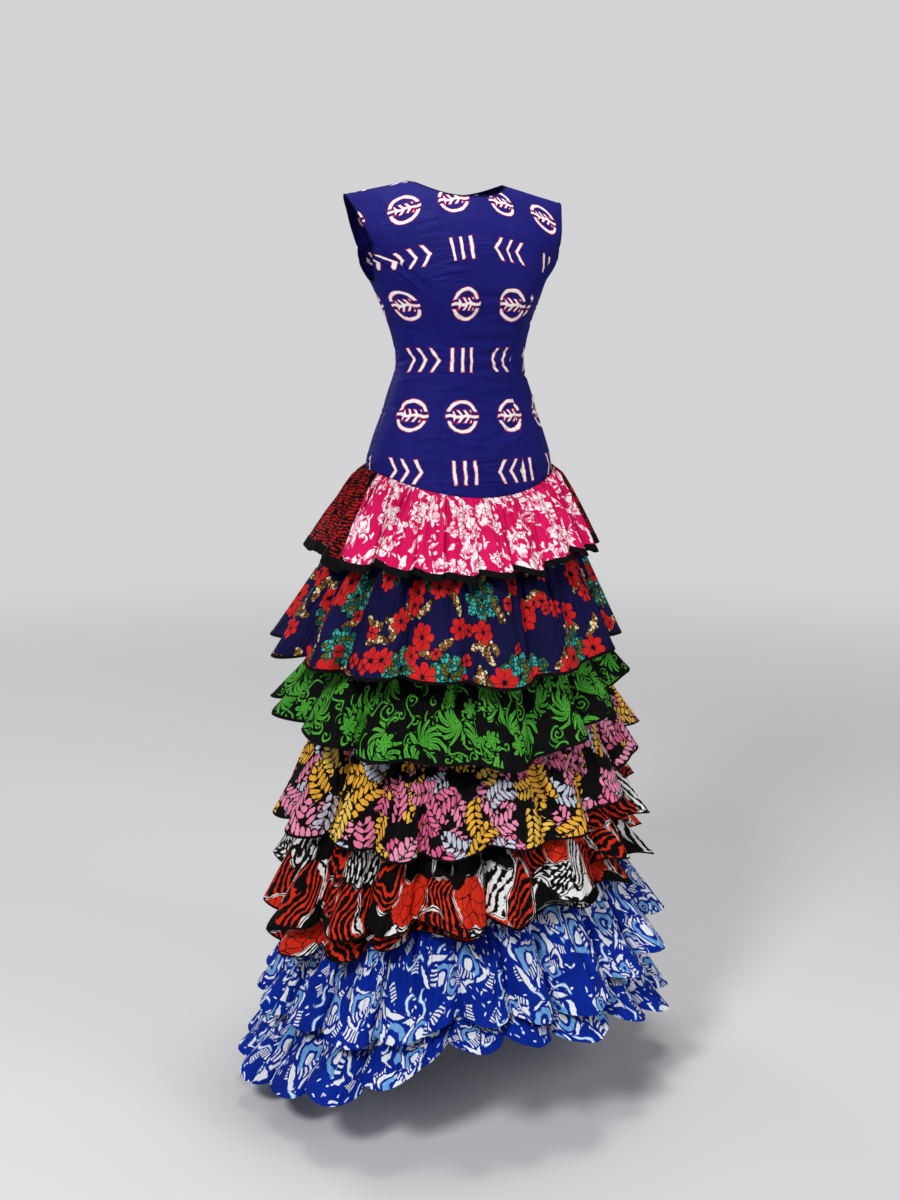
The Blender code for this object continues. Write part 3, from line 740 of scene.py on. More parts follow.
def paint_flowers(place):
    """Red flowers, large teal ones and gold sprigs on navy."""
    drawn = place.wobbled(0.014, 0.005).wobbled(0.005, 0.0012)
    fine = place.wobbled(0.004, 0.0012)
    colour = laid_over(srgb(12, 11, 46), srgb(22, 20, 74), place.noise(0.10))
    gold, gold_gap = cobbles(fine, 0.0056, 0.0005,
                             srgb(152, 106, 46), srgb(98, 62, 26), srgb(238, 216, 170))
    teal, teal_gap = cobbles(fine, 0.0068, 0.0007,
                             srgb(60, 180, 168), srgb(104, 106, 38), srgb(30, 98, 88))

    for pitch, seed, limit in ((0.056, 5.0, 0.80), (0.070, 13.0, 0.60)):
        local, draw, _ = drawn.strewn(pitch, 0.9, seed)
        bent = Place(local.across, local.up + local.across * local.across * 12.0)
        sprig = leaf_blot(bent, 0.0225, 0.0078) + draw.dropped(limit)
        sprig = sprig.most(Place(bent.across.centred(0.013), bent.up).distance() - 0.0078)
        colour = printed(colour, (srgb(12, 11, 30), sprig - 0.0012),
                         (gold, sprig.most(-gold_gap)))

    local, swell, draw = drawn.strewn(0.104, 0.8, 7.0)
    bloom = flower(local, 0.033, 8, 0.50) + (swell - 0.5) * 0.008 + draw.dropped(0.85)
    lines = petal_lines(local, 8, 0.0008).least(local.distance() - 0.0040)
    lines = lines.least(petal_gaps(local, 8, 0.0022))
    colour = printed(colour, (srgb(12, 14, 26), bloom - 0.0010),
                     (teal, bloom.most(-teal_gap).most(-lines)))

    red = laid_over(srgb(224, 44, 36), srgb(186, 22, 30), place.noise(0.02))
    for pitch, seed, petals, radius, limit in (
            (0.064, 9.0, 7, 0.0215, 0.62), (0.062, 11.0, 6, 0.0180, 0.46),
            (0.047, 12.0, 4, 0.0105, 0.26)):
        local, swell, draw = drawn.strewn(pitch, 0.85, seed)
        petal = flower(local, radius, petals, 0.52) + (swell - 0.5) * radius * 0.35
        petal = petal + draw.dropped(limit) + ink_spread(place, 0.004, 0.0020)
        along = petal_lines(local, petals, 0.0007).most(local.distance() - radius * 0.60)
        lines = petal_gaps(local, petals, 0.0017).least(along)
        lines = lines.least(local.distance() - radius * 0.20)
        colour = printed(colour, (srgb(14, 10, 30), petal - 0.0010), (red, petal.most(-lines)))
    return colour


def paint_scrolls(place):
    """Green curls and fans of curved leaves on black."""
    drawn = place.wobbled(0.024, 0.008)
    green = laid_over(srgb(52, 148, 42), srgb(100, 192, 66), place.noise(0.05))
    rim = srgb(6, 7, 7)
    colour = laid_over(BLACK, srgb(11, 11, 14), place.noise(0.03))
    for pitch, seed, reach, limit in ((0.026, 21.0, 0.0085, 0.50), (0.040, 24.0, 0.0140, 0.75)):
        local, (turn, draw, hand) = drawn.scattered(pitch, 0.8, seed)
        handed = hand.over(0.5) * 2.0 - 1.0
        line = curl(local, reach, 0.0078, 0.0026, handed, turn) + draw.dropped(limit)
        colour = printed(colour, (rim, line - 0.0018), (green, line))
    local, draw, _ = drawn.strewn(0.050, 0.9, 26.0)
    stem = stroke(local.up - (local.across * 130.0).sine() * 0.0085, 0.0034)
    stem = stem.most(local.across.size() - 0.024) + draw.dropped(0.75)
    colour = printed(colour, (rim, stem - 0.0018), (green, stem))
    for pitch, seed, leaves, reach, bend, plump, cut, limit in (
            (0.074, 22.0, 11, 0.037, 1.1, 0.0044, 0.004, 0.90),
            (0.066, 23.0, 9, 0.027, -1.5, 0.0042, 0.003, 0.62),
            (0.058, 25.0, 6, 0.015, 0.5, 0.0042, 0.050, 0.45)):
        local, (turn, draw, swell) = drawn.scattered(pitch, 0.85, seed)
        radius = local.distance()
        far = radius / reach
        step = 2 * math.pi / leaves
        bearing = local.bearing() + turn * DRAWN_TURN + far * bend
        off = (bearing / step).centred(1.0) * step * radius
        half = far * far.flipped().most(0.0).maths("SQRT") * 2.5 * plump * (swell * 0.4 + 0.8)
        leaf = (off.size() - half).most(radius - reach).most(-(radius - reach * 0.12))
        leaf = leaf.most(-(local.turned(turn * DRAWN_TURN).across + cut))
        leaf = leaf.least(radius - reach * 0.10) + draw.dropped(limit)
        vein = stroke(off, 0.0010).most(radius - reach * 0.72).most(-(radius - reach * 0.30))
        colour = printed(colour, (rim, leaf - 0.0030), (green, leaf),
                         (srgb(14, 46, 16), vein.most(leaf)))
    return colour


def paint_sprays(place):
    """Curved sprays of leaves in pink, yellow and grey blue on black."""
    drawn = place.wobbled(0.016, 0.004)
    colour = laid_over(BLACK, srgb(13, 11, 16), place.noise(0.1))
    pairs = ((srgb(250, 156, 190), srgb(236, 104, 152)), (srgb(255, 214, 96), srgb(248, 182, 60)),
             (srgb(206, 214, 232), srgb(240, 196, 220)))
    for pitch, seed, bend in ((0.062, 34.0, 7.0), (0.078, 31.0, 9.0), (0.070, 32.0, -9.0),
                              (0.082, 33.0, 6.0)):
        local, draw, swell = drawn.strewn(pitch, 0.85, seed)
        tone = (draw * 13.0).sine() * 0.5 + 0.5
        side = local.up - local.across * local.across * bend
        step = (local.across + side.size() * 0.60).centred(0.0108)
        taper = (local.across / (pitch * 0.60)).size() ** 2.0
        leaf = Place(step / 0.0044, (side.size() - 0.0088) / (taper * -0.0045 + 0.0084)).distance()
        leaf = ((leaf - 1.0) * 0.0032).most(local.across.size() - pitch * 0.44)
        leaf = leaf + ink_spread(place, 0.005, 0.0026) + swell.dropped(0.80)
        pink, gold, grey = [laid_over(*pair, tone) for pair in pairs]
        hue = laid_over(laid_over(pink, gold, draw.over(0.50)), grey, draw.over(0.84))
        colour = printed(colour, (BLACK, leaf - 0.0013), (hue, leaf))
    return colour


def paint_patches(place):
    """Red, black and white patches with curved stripes, dashes and brush strokes."""
    pitch, jitter, seed = 0.066, 0.95, 41.0
    drawn = place.wobbled(0.075, 0.060).wobbled(0.014, 0.006)
    local, draw, _ = drawn.strewn(pitch, jitter, seed)
    edge = drawn.seeded(seed).cracks(pitch, jitter)
    rough = ink_spread(place, 0.008, 0.0060)
    stripes = stroke((local.across + local.up * local.up * 8.0).centred(0.0116), 0.0074) + rough
    row = (local.up / 0.0100).whole()
    dash = (local.across + row * 0.0074).centred(0.0180).size() - 0.0060
    dashes = dash.most((local.up - row * 0.0100).size() - 0.0022) + rough
    brush = stroke((local.across + local.up * 0.3).centred(0.0170), 0.0080) + rough * 1.8

    red = laid_over(srgb(206, 34, 20), srgb(236, 58, 28), place.noise(0.04))
    striped = printed(red, (BLACK, stripes), soft=SOFT_EDGE)
    colour = striped
    for patch, limit in ((printed(red, (BLACK, drawn.cracks(0.017) - 0.0007)), 0.30),
                         (printed(BLACK, (WHITE, dashes), soft=SOFT_EDGE), 0.42),
                         (printed(WHITE, (BLACK, brush), soft=SOFT_EDGE), 0.55),
                         (BLACK, 0.64), (striped, 0.90)):
        colour = laid_over(colour, patch, draw.over(limit))
    band = edge - (place.noise(0.03) - 0.40).most(0.0) * 0.016
    colour = printed(colour, (WHITE, band.most(-(edge - 0.0010))), soft=SOFT_EDGE)
    return printed(colour, (BLACK, edge - 0.0011))


def paint_drops(place):
    """White and light blue drops, rings, bars, squiggles and dots on royal blue."""
    drawn = place.wobbled(0.024, 0.010).wobbled(0.006, 0.0018)
    blue = laid_over(srgb(1, 26, 122), srgb(3, 48, 172), place.noise(0.07))
    light = laid_over(srgb(56, 136, 214), srgb(150, 200, 240), place.noise(0.007))
    white = srgb(240, 244, 250)

    local, _, draw = drawn.strewn(0.0145, 0.9, 51.0)
    colour = printed(blue, (white, leaf_blot(local, 0.0034, 0.0014) + draw.dropped(0.48)))
    local, draw, _ = drawn.strewn(0.040, 0.9, 54.0)
    bars = stroke(local.across.centred(0.0050), 0.0026).most(local.across.size() - 0.0120)
    bars = bars.most(local.up.size() - 0.0072) + draw.dropped(0.60)
    colour = printed(colour, (blue, bars - 0.0030), (white, bars))
    local, draw, _ = drawn.strewn(0.056, 0.9, 55.0)
    wave = stroke(local.up - (local.across * 150.0).sine() * 0.0070, 0.0072)
    wave = wave.most(local.across.size() - 0.022) + draw.dropped(0.74)
    colour = printed(colour, (blue, wave - 0.0022))
    colour = printed(colour, (light, wave), (white, wave + 0.0018), soft=SOFT_EDGE)

    for pitch, seed, radius, limit in ((0.086, 52.0, 0.030, 0.74), (0.068, 53.0, 0.019, 0.50)):
        local, draw, swell = drawn.strewn(pitch, 0.85, seed)
        pinch = (local.across * (0.62 / radius) + 1.0).most(0.50)
        drop = Place(local.across * 0.82, local.up * pinch).distance()
        drop = drop - (swell - 0.5) * radius * 0.4 + draw.dropped(limit)
        drop = drop + ink_spread(place, 0.010, 0.0044)
        broken = ((local.bearing() * 5.0 + drop * 220.0).sine() - 0.68) * 0.0045
        outer = stroke(drop - radius * 0.88, radius * 0.22).most(broken)
        inner = stroke(drop - radius * 0.50, radius * 0.26).most(-(local.up + radius * 0.35))
        hatch = stroke(local.across.centred(radius * 0.26), radius * 0.12)
        hatch = hatch.most(drop - radius * 0.62).most(local.up + radius * 0.30)
        colour = printed(colour, (blue, drop - radius - 0.002), (white, outer), (light, inner),
                         (white, hatch), (white, drop - radius * 0.20), soft=SOFT_EDGE)
    return colour


def plain(first, second):
    """Painter of a plain cloth that is slightly uneven between two colours."""
    return lambda place: laid_over(first, second, place.noise(0.02))


def make_lacquer(name, colour, roughness, metallic):
    """Plain lacquer or nylon with a slightly uneven gloss."""
    material, tree, shader = new_material(name)
    across, up, _ = parts_of(add_node(tree, "TexCoord", {}).outputs["Object"])
    worn = Place(across, up).noise(0.003)
    paler = tuple(value * 1.6 + 0.002 for value in colour)
    set_inputs(shader, {"Base Color": laid_over(colour, paler, worn), "Metallic": metallic,
                        "Roughness": worn * 0.25 + roughness})
    return material


PLAIN_BLACK = plain(srgb(7, 7, 9), srgb(13, 13, 15))
PLAIN_NAVY = plain(srgb(10, 12, 44), srgb(16, 18, 60))
COTTONS = (
    ("bodice_cloth", "printed_cotton_stamped", paint_bodice, BODICE_HAND),
    ("flounce_1_front", "printed_cotton_pink", paint_pink, PLEATED_HAND),
    ("flounce_1_back", "printed_cotton_broken_lines", paint_broken_lines, PLEATED_HAND),
    ("flounce_2", "printed_cotton_flowers", paint_flowers, FLOUNCE_HAND),
    ("flounce_3", "printed_cotton_scrolls", paint_scrolls, FLOUNCE_HAND),
    ("flounce_4", "printed_cotton_sprays", paint_sprays, RUMPLED_HAND),
    ("flounce_5", "printed_cotton_patches", paint_patches, RUMPLED_HAND),
    ("flounce_6", "printed_cotton_drops", paint_drops, RUMPLED_HAND),
    ("black_binding", "black_cotton", PLAIN_BLACK, PLAIN_HAND),
    ("navy_edge", "navy_cotton", PLAIN_NAVY, PLAIN_HAND),
    ("foundation_cloth", "plain_cotton", PLAIN_BLACK, PLAIN_HAND),
)
MATERIALS = {slot: make_cotton(name, painted, hand) for slot, name, painted, hand in COTTONS}
MATERIALS["zip_nylon"] = make_lacquer("navy_nylon", srgb(24, 23, 88), 0.40, 0.0)
MATERIALS["zip_metal"] = make_lacquer("lacquered_slider", srgb(30, 29, 104), 0.25, 0.6)


# Bodice

def centre_panel(half, neck_height, toward_angle, shares, climbs):
    """Angles and heights of a centre panel, measured from the centre front or back."""
    foot_angle = math.radians(getattr(PANEL_EDGES[-1], half))
    foot = basque_height(toward_angle + foot_angle)
    seam_height = foot + (SHOULDER_TIP_HEIGHT - foot) * climbs
    edge_angle = np.radians(smooth_value(PANEL_EDGES, seam_height, half))
    x = BODY[1].half_width * np.sin(math.radians(SHOULDER_TIP_ANGLE) * np.abs(shares))
    rise = np.minimum((x / NECK_HALF_WIDTH) ** NECKLINE_ROUNDNESS, 1.0)
    neckline = neck_height + (NECK_POINT_HEIGHT - neck_height) * rise
    top = np.where(np.abs(shares) >= NECK_POINT_SHARE - 1e-6, shoulder_height(x), neckline)
    bottom = basque_height(toward_angle + shares * foot_angle)
    return toward_angle + np.outer(edge_angle, shares), bottom + np.outer(climbs, top - bottom)


def side_panel(half, toward_angle, turn, shares, climbs):
    """Angles and heights from the princess seam, share 0, to the side seam, share 1."""
    seam_foot_angle = math.radians(getattr(PANEL_EDGES[-1], half))
    bottom = basque_height(toward_angle + turn * (seam_foot_angle
                                                  + (math.pi / 2 - seam_foot_angle) * shares))
    armhole = UNDERARM_HEIGHT + (ARMHOLE_NOTCH_HEIGHT - UNDERARM_HEIGHT) * (
        1.0 - np.sin(shares * math.pi / 2))
    height = bottom + np.outer(climbs, armhole - bottom)
    seam_bottom = basque_height(toward_angle + turn * seam_foot_angle)
    seam_height = seam_bottom + (ARMHOLE_NOTCH_HEIGHT - seam_bottom) * climbs
    edge_angle = np.radians(smooth_value(PANEL_EDGES, seam_height, half))[:, None]
    return toward_angle + turn * (edge_angle + (math.pi / 2 - edge_angle) * shares), height


PRINT_LEVEL = 1.20           # height at which the print's rows are level with the frame's heights
FRONT_STAMP_SHIFT = 0.034
RIGHT_STAMP_SHIFT = -0.012
LEFT_STAMP_SHIFT = -0.014
CREASE_GAIN = 2.3
SEAM_DIP = 0.0009
SEAM_DIP_WIDTH = 0.0030
SEAM_PUCKER = 0.55           # how far the dips grow and shrink along the seams
SEAM_DIP_FADE = 0.020        # height over which the dips fade out below the armhole notch
SEAM_GAP = 0.00006           # between the shells of two bodice panels
PUCKER_PITCH = 0.011

# Soft creases of the bodice, in degrees round the body and millimetres: the place of the middle,
# half the length, the rise for each degree, the half width and the depth, troughs below zero
Crease = namedtuple("Crease", "angle height reach rise width depth")
CREASES = [Crease(*row) for row in (
    (-53, 1338, 13, -2.6, 4.2, 1.6), (-51, 1326, 12, -2.4, 3.6, -1.5),
    (-49, 1349, 11, -2.8, 4.5, -1), (-46, 1312, 9, -2, 4, 1.2), (54, 1336, 12, 2.6, 4.2, 1.4),
    (52, 1322, 12, 2.4, 3.6, -1.4), (47, 1309, 9, 1.9, 4, 1), (6, 1303, 20, 0.1, 5, -1.5),
    (10, 1292, 17, -0.2, 4.2, 1), (-8, 1271, 22, 0.3, 4, -1.1), (12, 1262, 20, -0.3, 3.6, -1),
    (-14, 1247, 16, 0.2, 3.4, 0.9), (4, 1236, 24, 0.1, 3.6, -1.3), (-22, 1225, 18, -0.3, 3.2, -1),
    (15, 1216, 22, 0.2, 3.4, -1.3), (-4, 1205, 26, -0.2, 3.6, 1.1), (20, 1196, 20, 0.3, 3.4, -1.3),
    (-16, 1186, 22, 0.1, 3.6, -1.2), (8, 1173, 20, -0.3, 3.4, -1.1), (-26, 1162, 15, 0.2, 3.2, 0.9),
    (18, 1153, 17, 0.2, 3.6, -1.1), (-10, 1139, 19, -0.2, 3.6, -0.9), (14, 1121, 14, -0.4, 4, 0.9),
    (16, 1093, 16, 0.9, 4.6, -1.3), (20, 1079, 13, 1, 4, 1), (-12, 1067, 14, -0.5, 4.2, -0.8),
    (62, 1262, 16, 0.4, 4, -1.2), (66, 1214, 18, 0.3, 3.8, -1.3), (70, 1180, 18, -0.3, 3.6, -1.1),
    (64, 1140, 14, 0.4, 4, 1), (-64, 1254, 16, -0.4, 4, -1.1), (-68, 1208, 18, 0.3, 3.8, -1.3),
    (-62, 1176, 16, 0.2, 3.6, 1), (-70, 1132, 14, -0.3, 4, -1), (158, 1236, 16, 0.2, 3.8, -1.2),
    (-161, 1222, 15, -0.2, 3.6, -1.1), (150, 1204, 20, -0.2, 3.8, 1.1),
    (-152, 1192, 20, 0.3, 3.6, -1.3), (140, 1178, 22, 0.1, 3.6, -1.2),
    (-140, 1160, 18, -0.3, 3.8, -1), (154, 1146, 14, 0.3, 4, -1), (128, 1336, 12, -2.2, 4.4, -1.2),
    (-128, 1338, 12, 2.2, 4.4, -1.2), (112, 1232, 14, 0.3, 3.8, 1),
    (-114, 1224, 14, -0.3, 3.8, -1.1),
)]


def bodice_relief(angle, height):
    """How far the cloth stands out at its creases."""
    degrees = np.degrees(angle)
    relief = np.zeros(np.broadcast(angle, height).shape)
    for crease in CREASES:
        off = (degrees - crease.angle + 180.0) % 360.0 - 180.0
        above = height * 1000.0 - crease.height - crease.rise * off
        relief += (crease.depth * np.exp(-(above / crease.width)**2)
                   * np.exp(-(off / crease.reach)**4))
    return CREASE_GAIN * relief / 1000.0


def seam_dip(points, height):
    """How far each point of a panel lies in, towards its two side seams and the puckers there."""
    run = lengths_along(points, 1)
    up = lengths_along(points, 0)
    sewn = np.clip((ARMHOLE_NOTCH_HEIGHT - height) / SEAM_DIP_FADE, 0.0, 1.0)
    to_edge = np.minimum(run, run[:, -1:] - run)
    pucker = 1.0 + SEAM_PUCKER * np.sin(up * (2 * math.pi / PUCKER_PITCH) + 2.0 * np.sin(up * 40.0))
    dip = pucker * np.exp(-(to_edge / SEAM_DIP_WIDTH)**2)
    dip += 0.5 * (pucker - 1.0) * np.exp(-(to_edge / (4 * SEAM_DIP_WIDTH))**2)
    return SEAM_DIP * sewn * dip


def bodice_map(points, height, offset, centre_column):
    """Cloth map of a panel: length along each row from one column, and length up each column."""
    across = lengths_along(points, 1)
    across = across - across[:, centre_column:centre_column + 1] + offset
    up = lengths_along(points, 0)
    level = np.array([np.interp(PRINT_LEVEL, height[:, j], up[:, j])
                      for j in range(height.shape[1])])
    return np.stack([across, up - level + PRINT_LEVEL], -1)


def make_panel(name, angle, height, offset, centre_column):
    if angle[0, 0] > angle[0, -1]:
        angle, height = angle[:, ::-1], height[:, ::-1]
    points = body_point(angle, height)
    tangent = np.stack([np.cos(angle), np.sin(angle), angle * 0.0], -1)
    points[:, 0] += tangent[:, 0] * SEAM_GAP / 2
    points[:, -1] -= tangent[:, -1] * SEAM_GAP / 2
    if name == "bodice_centre_back_left":
        points[:, -1, 0] = ZIP_HALF_WIDTH + GAP
    if name == "bodice_centre_back_right":
        points[:, 0, 0] = -(ZIP_HALF_WIDTH + GAP)
    uv = bodice_map(points, height, offset, centre_column)
    inward = bodice_relief(angle, height) - seam_dip(points, height)
    points += np.stack([np.sin(angle), -np.cos(angle), angle * 0.0], -1) * inward[..., None]
    piece = make_shell(name + "_cloth", points, uv, "bodice_cloth")
    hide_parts(name)
    return piece, points


def make_bodice():
    outer_half = np.sin(np.linspace(0.0, math.pi / 2, SHOULDER_COLUMNS))
    quarter = np.concatenate([np.linspace(0.0, NECK_POINT_SHARE, NECK_COLUMNS + 1)[:-1],
                              NECK_POINT_SHARE + (1.0 - NECK_POINT_SHARE) * outer_half])
    both = np.concatenate([-quarter[:0:-1], quarter])
    climbs = np.linspace(0.0, 1.0, BODICE_ROWS)
    panels = {"bodice_centre_front": make_panel(
        "bodice_centre_front", *centre_panel("front", FRONT_NECK_HEIGHT, 0.0, both, climbs),
        FRONT_STAMP_SHIFT, len(both) // 2)}
    shares = (1.0 - np.cos(np.linspace(0.0, math.pi, SIDE_COLUMNS))) / 2
    for side, turn, stamp_shift in (("left", 1, LEFT_STAMP_SHIFT), ("right", -1, RIGHT_STAMP_SHIFT)):
        back = math.pi * turn
        for part, form, shift, centre_column in (
                ("side_front_", side_panel("front", 0.0, turn, shares, climbs),
                 stamp_shift - STAMP_PITCH, SIDE_COLUMNS // 2),
                ("side_back_", side_panel("back", back, -turn, shares, climbs),
                 stamp_shift, SIDE_COLUMNS // 2),
                ("centre_back_",
                 centre_panel("back", BACK_NECK_HEIGHT, back, -turn * quarter, climbs),
                 turn * STAMP_PITCH / 2, len(quarter) - 1 if turn > 0 else 0)):
            name = "bodice_" + part + side
            panels[name] = make_panel(name, *form, shift, centre_column)
    rolls = make_edges(panels)


EDGE_ROLL = 0.0012           # radius of the rolled neck and armhole edges
ROLL_SIDES = 8
TOOTH_PITCH = 0.0022
TOOTH_SIZE = (0.0021, 0.0012, 0.0013)      # across, out and up
TOOTH_OFFSET = 0.0007
TAPE_HALF_WIDTH = 0.009
TAPE_DEPTH = 0.0013
TAPE_THICKNESS = 0.0005
TAPE_COLUMNS = 9
TAPE_ROWS = 100
SLIDER_TOP_HEIGHT = 1.452
SLIDER_STEPS = 40
SLIDER_SIDES = 18
SLIDER_PROUD = 0.0006
SLIDER_ROUNDNESS = 0.6
SliderRow = namedtuple("SliderRow", "height half_width thickness")
SLIDER_ROWS = [SliderRow(*row) for row in (
    (0.0000, 0.0016, 0.0018), (-0.0012, 0.0025, 0.0026), (-0.0050, 0.0030, 0.0030),
    (-0.0090, 0.0020, 0.0018), (-0.0180, 0.0032, 0.0018), (-0.0240, 0.0027, 0.0016),
    (-0.0252, 0.0016, 0.0012),
)]


def loft(rings):
    """Vertices and faces of a closed solid through rings of equal counts, capped at both ends."""
    rows, sides = rings.shape[:2]
    number = np.arange(rows * sides).reshape(rows, sides)
    around = np.roll(number, -1, axis=1)
    faces = np.stack([number[:-1], around[:-1], around[1:], number[1:]], -1).reshape(-1, 4)
    middles = np.stack([rings[0].mean(0), rings[-1].mean(0)])
    first, last = rows * sides, rows * sides + 1
    caps = [(a, b, first) for a, b in zip(around[0], number[0])]
    caps += [(a, b, last) for a, b in zip(number[-1], around[-1])]
    return np.concatenate([rings.reshape(-1, 3), middles]), [*faces, *caps]


def make_roll(name, line):
    """Cloth rolled over an edge, along a line of points."""
    run = unit(np.gradient(line, axis=0))
    level = line * (1.0, 1.0, 0.0)
    out = unit(level - run * (level * run).sum(-1, keepdims=True))
    third = np.cross(run, out)
    turn = full_circle(ROLL_SIDES)[None, :, None]
    middle = line - out * CLOTH / 2
    round_line = np.cos(turn) * out[:, None] + np.sin(turn) * third[:, None]
    rings = middle[:, None] + EDGE_ROLL * round_line
    vertices, faces = loft(rings)
    length = np.repeat(lengths_along(line[None], 1)[0], ROLL_SIDES)
    around = np.tile(turn[0, :, 0] * EDGE_ROLL, len(line))
    uv = np.concatenate([np.stack([length, around], -1), np.zeros((2, 2))])
    return add_mesh(name, vertices, faces, uv, "bodice_cloth", "navy_edge")


def make_edges(panels):
    """Rolls along the neckline and the two armholes, on the edges of the bodice panels, in navy
    cloth.
    """
    front = panels["bodice_centre_front"][1]
    middle = front.shape[1] // 2
    inner = np.abs(np.arange(front.shape[1]) - middle) <= NECK_COLUMNS
    backs = {side: panels["bodice_centre_back_" + side][1] for side in ("left", "right")}
    left_neck = backs["left"][-1, -1 - NECK_COLUMNS:][::-1]
    right_neck = backs["right"][-1, :NECK_COLUMNS + 1]
    rolls = [make_roll("neck_edge_front", front[-1, inner]),
             make_roll("neck_edge_back_left", left_neck),
             make_roll("neck_edge_back_right", right_neck)]
    notch = ARMHOLE_NOTCH_HEIGHT - SHOULDER_HEIGHT
    for side, front_column, back_column in (("left", -1, 0), ("right", 0, -1)):
        fall = front[:, front_column]
        fall = fall[fall[:, 2] >= notch][::-1]
        front_top = panels["bodice_side_front_" + side][1][-1]
        back_top = panels["bodice_side_back_" + side][1][-1]
        if side == "right":
            front_top, back_top = front_top[::-1], back_top[::-1]
        rise = backs[side][:, back_column]
        rise = rise[rise[:, 2] >= notch]
        rolls.append(make_roll("armhole_edge_" + side,
                               np.concatenate([fall, front_top[1:-1], back_top[1:-1], rise])))
    return rolls


def make_zip():
    low, high = BASQUE_BACK + TOOTH_PITCH, BACK_NECK_HEIGHT - TOOTH_PITCH
    heights = np.arange(low, high, TOOTH_PITCH)
    middles = body_point(np.full(len(heights), math.pi), heights)
    middles[:, 0] = TOOTH_OFFSET * np.where(np.arange(len(heights)) % 2, 1.0, -1.0)
    square = ((-1, -1), (1, -1), (1, 1), (-1, 1))
    corners = np.array([(x, y, z) for z in (-1, 1) for x, y in square])
    vertices = (middles[:, None] + corners * np.array(TOOTH_SIZE) / 2).reshape(-1, 3)
    box = np.array([(0, 3, 2, 1), (4, 5, 6, 7), (0, 1, 5, 4), (1, 2, 6, 5), (2, 3, 7, 6),
                    (3, 0, 4, 7)])
    faces = (box[None] + 8 * np.arange(len(heights))[:, None, None]).reshape(-1, 4)
    teeth = add_mesh("zip_teeth", vertices, faces, None, "bodice_cloth", "zip_nylon")
    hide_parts("zip_chain")

    shares = np.linspace(-1.0, 1.0, TAPE_COLUMNS)
    heights = np.linspace(low, high, TAPE_ROWS)
    tape = body_point(np.full((len(heights), len(shares)), math.pi), heights[:, None], TAPE_DEPTH)
    tape[..., 0] = shares * TAPE_HALF_WIDTH
    uv = np.stack([lengths_along(tape, 1), lengths_along(tape, 0)], -1)
    backing = make_shell("zip_tape", tape, uv, "bodice_cloth", "navy_edge",
                         thickness=TAPE_THICKNESS)

    drops = np.linspace(SLIDER_ROWS[-1].height, 0.0, SLIDER_STEPS)
    half_widths = smooth_value(SLIDER_ROWS, drops, "half_width")
    thickness = smooth_value(SLIDER_ROWS, drops, "thickness")
    base = body_point(np.full(SLIDER_STEPS, math.pi), SLIDER_TOP_HEIGHT + drops)
    turn = full_circle(SLIDER_SIDES)
    across = np.sign(np.cos(turn)) * np.abs(np.cos(turn))**SLIDER_ROUNDNESS
    out = np.sign(np.sin(turn)) * np.abs(np.sin(turn))**SLIDER_ROUNDNESS
    rings = np.repeat(base[:, None], SLIDER_SIDES, axis=1)
    rings[..., 0] = half_widths[:, None] * across
    rings[..., 1] += SLIDER_PROUD + thickness[:, None] * (1.0 + out) / 2
    vertices, faces = loft(rings)
    slider = add_mesh("zip_slider_body", vertices, faces, None, "zip_metal")
    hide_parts("zip_slider")


# Flounces and foundation

def half_angles(tier, front, columns):
    seam = math.radians(FLOUNCES[tier].seam)
    if front:
        return np.linspace(-seam, seam, columns)
    return np.linspace(seam, 2 * math.pi - seam, columns)


def sewn_apart(points):
    """The grid with its two side edges moved in by half the sewing gap."""
    for edge, next_in in ((0, 1), (-1, -2)):
        points[:, edge] += unit(points[:, next_in] - points[:, edge]) * GAP / 2
    return points


def flounce_grid(tier, angles, start, end, rows):
    """Points of a flounce between two shares, the run of its last row and the fall of its rows."""
    shares = np.linspace(start, end, rows)[:, None]
    points = sewn_apart(flounce_surface(tier, angles, shares))
    return points, lengths_along(points, 1)[-1], lengths_along(points, 0).mean(1)


def print_map(across, fall):
    return np.stack(np.broadcast_arrays(across[None, :], -fall[:, None]), -1)


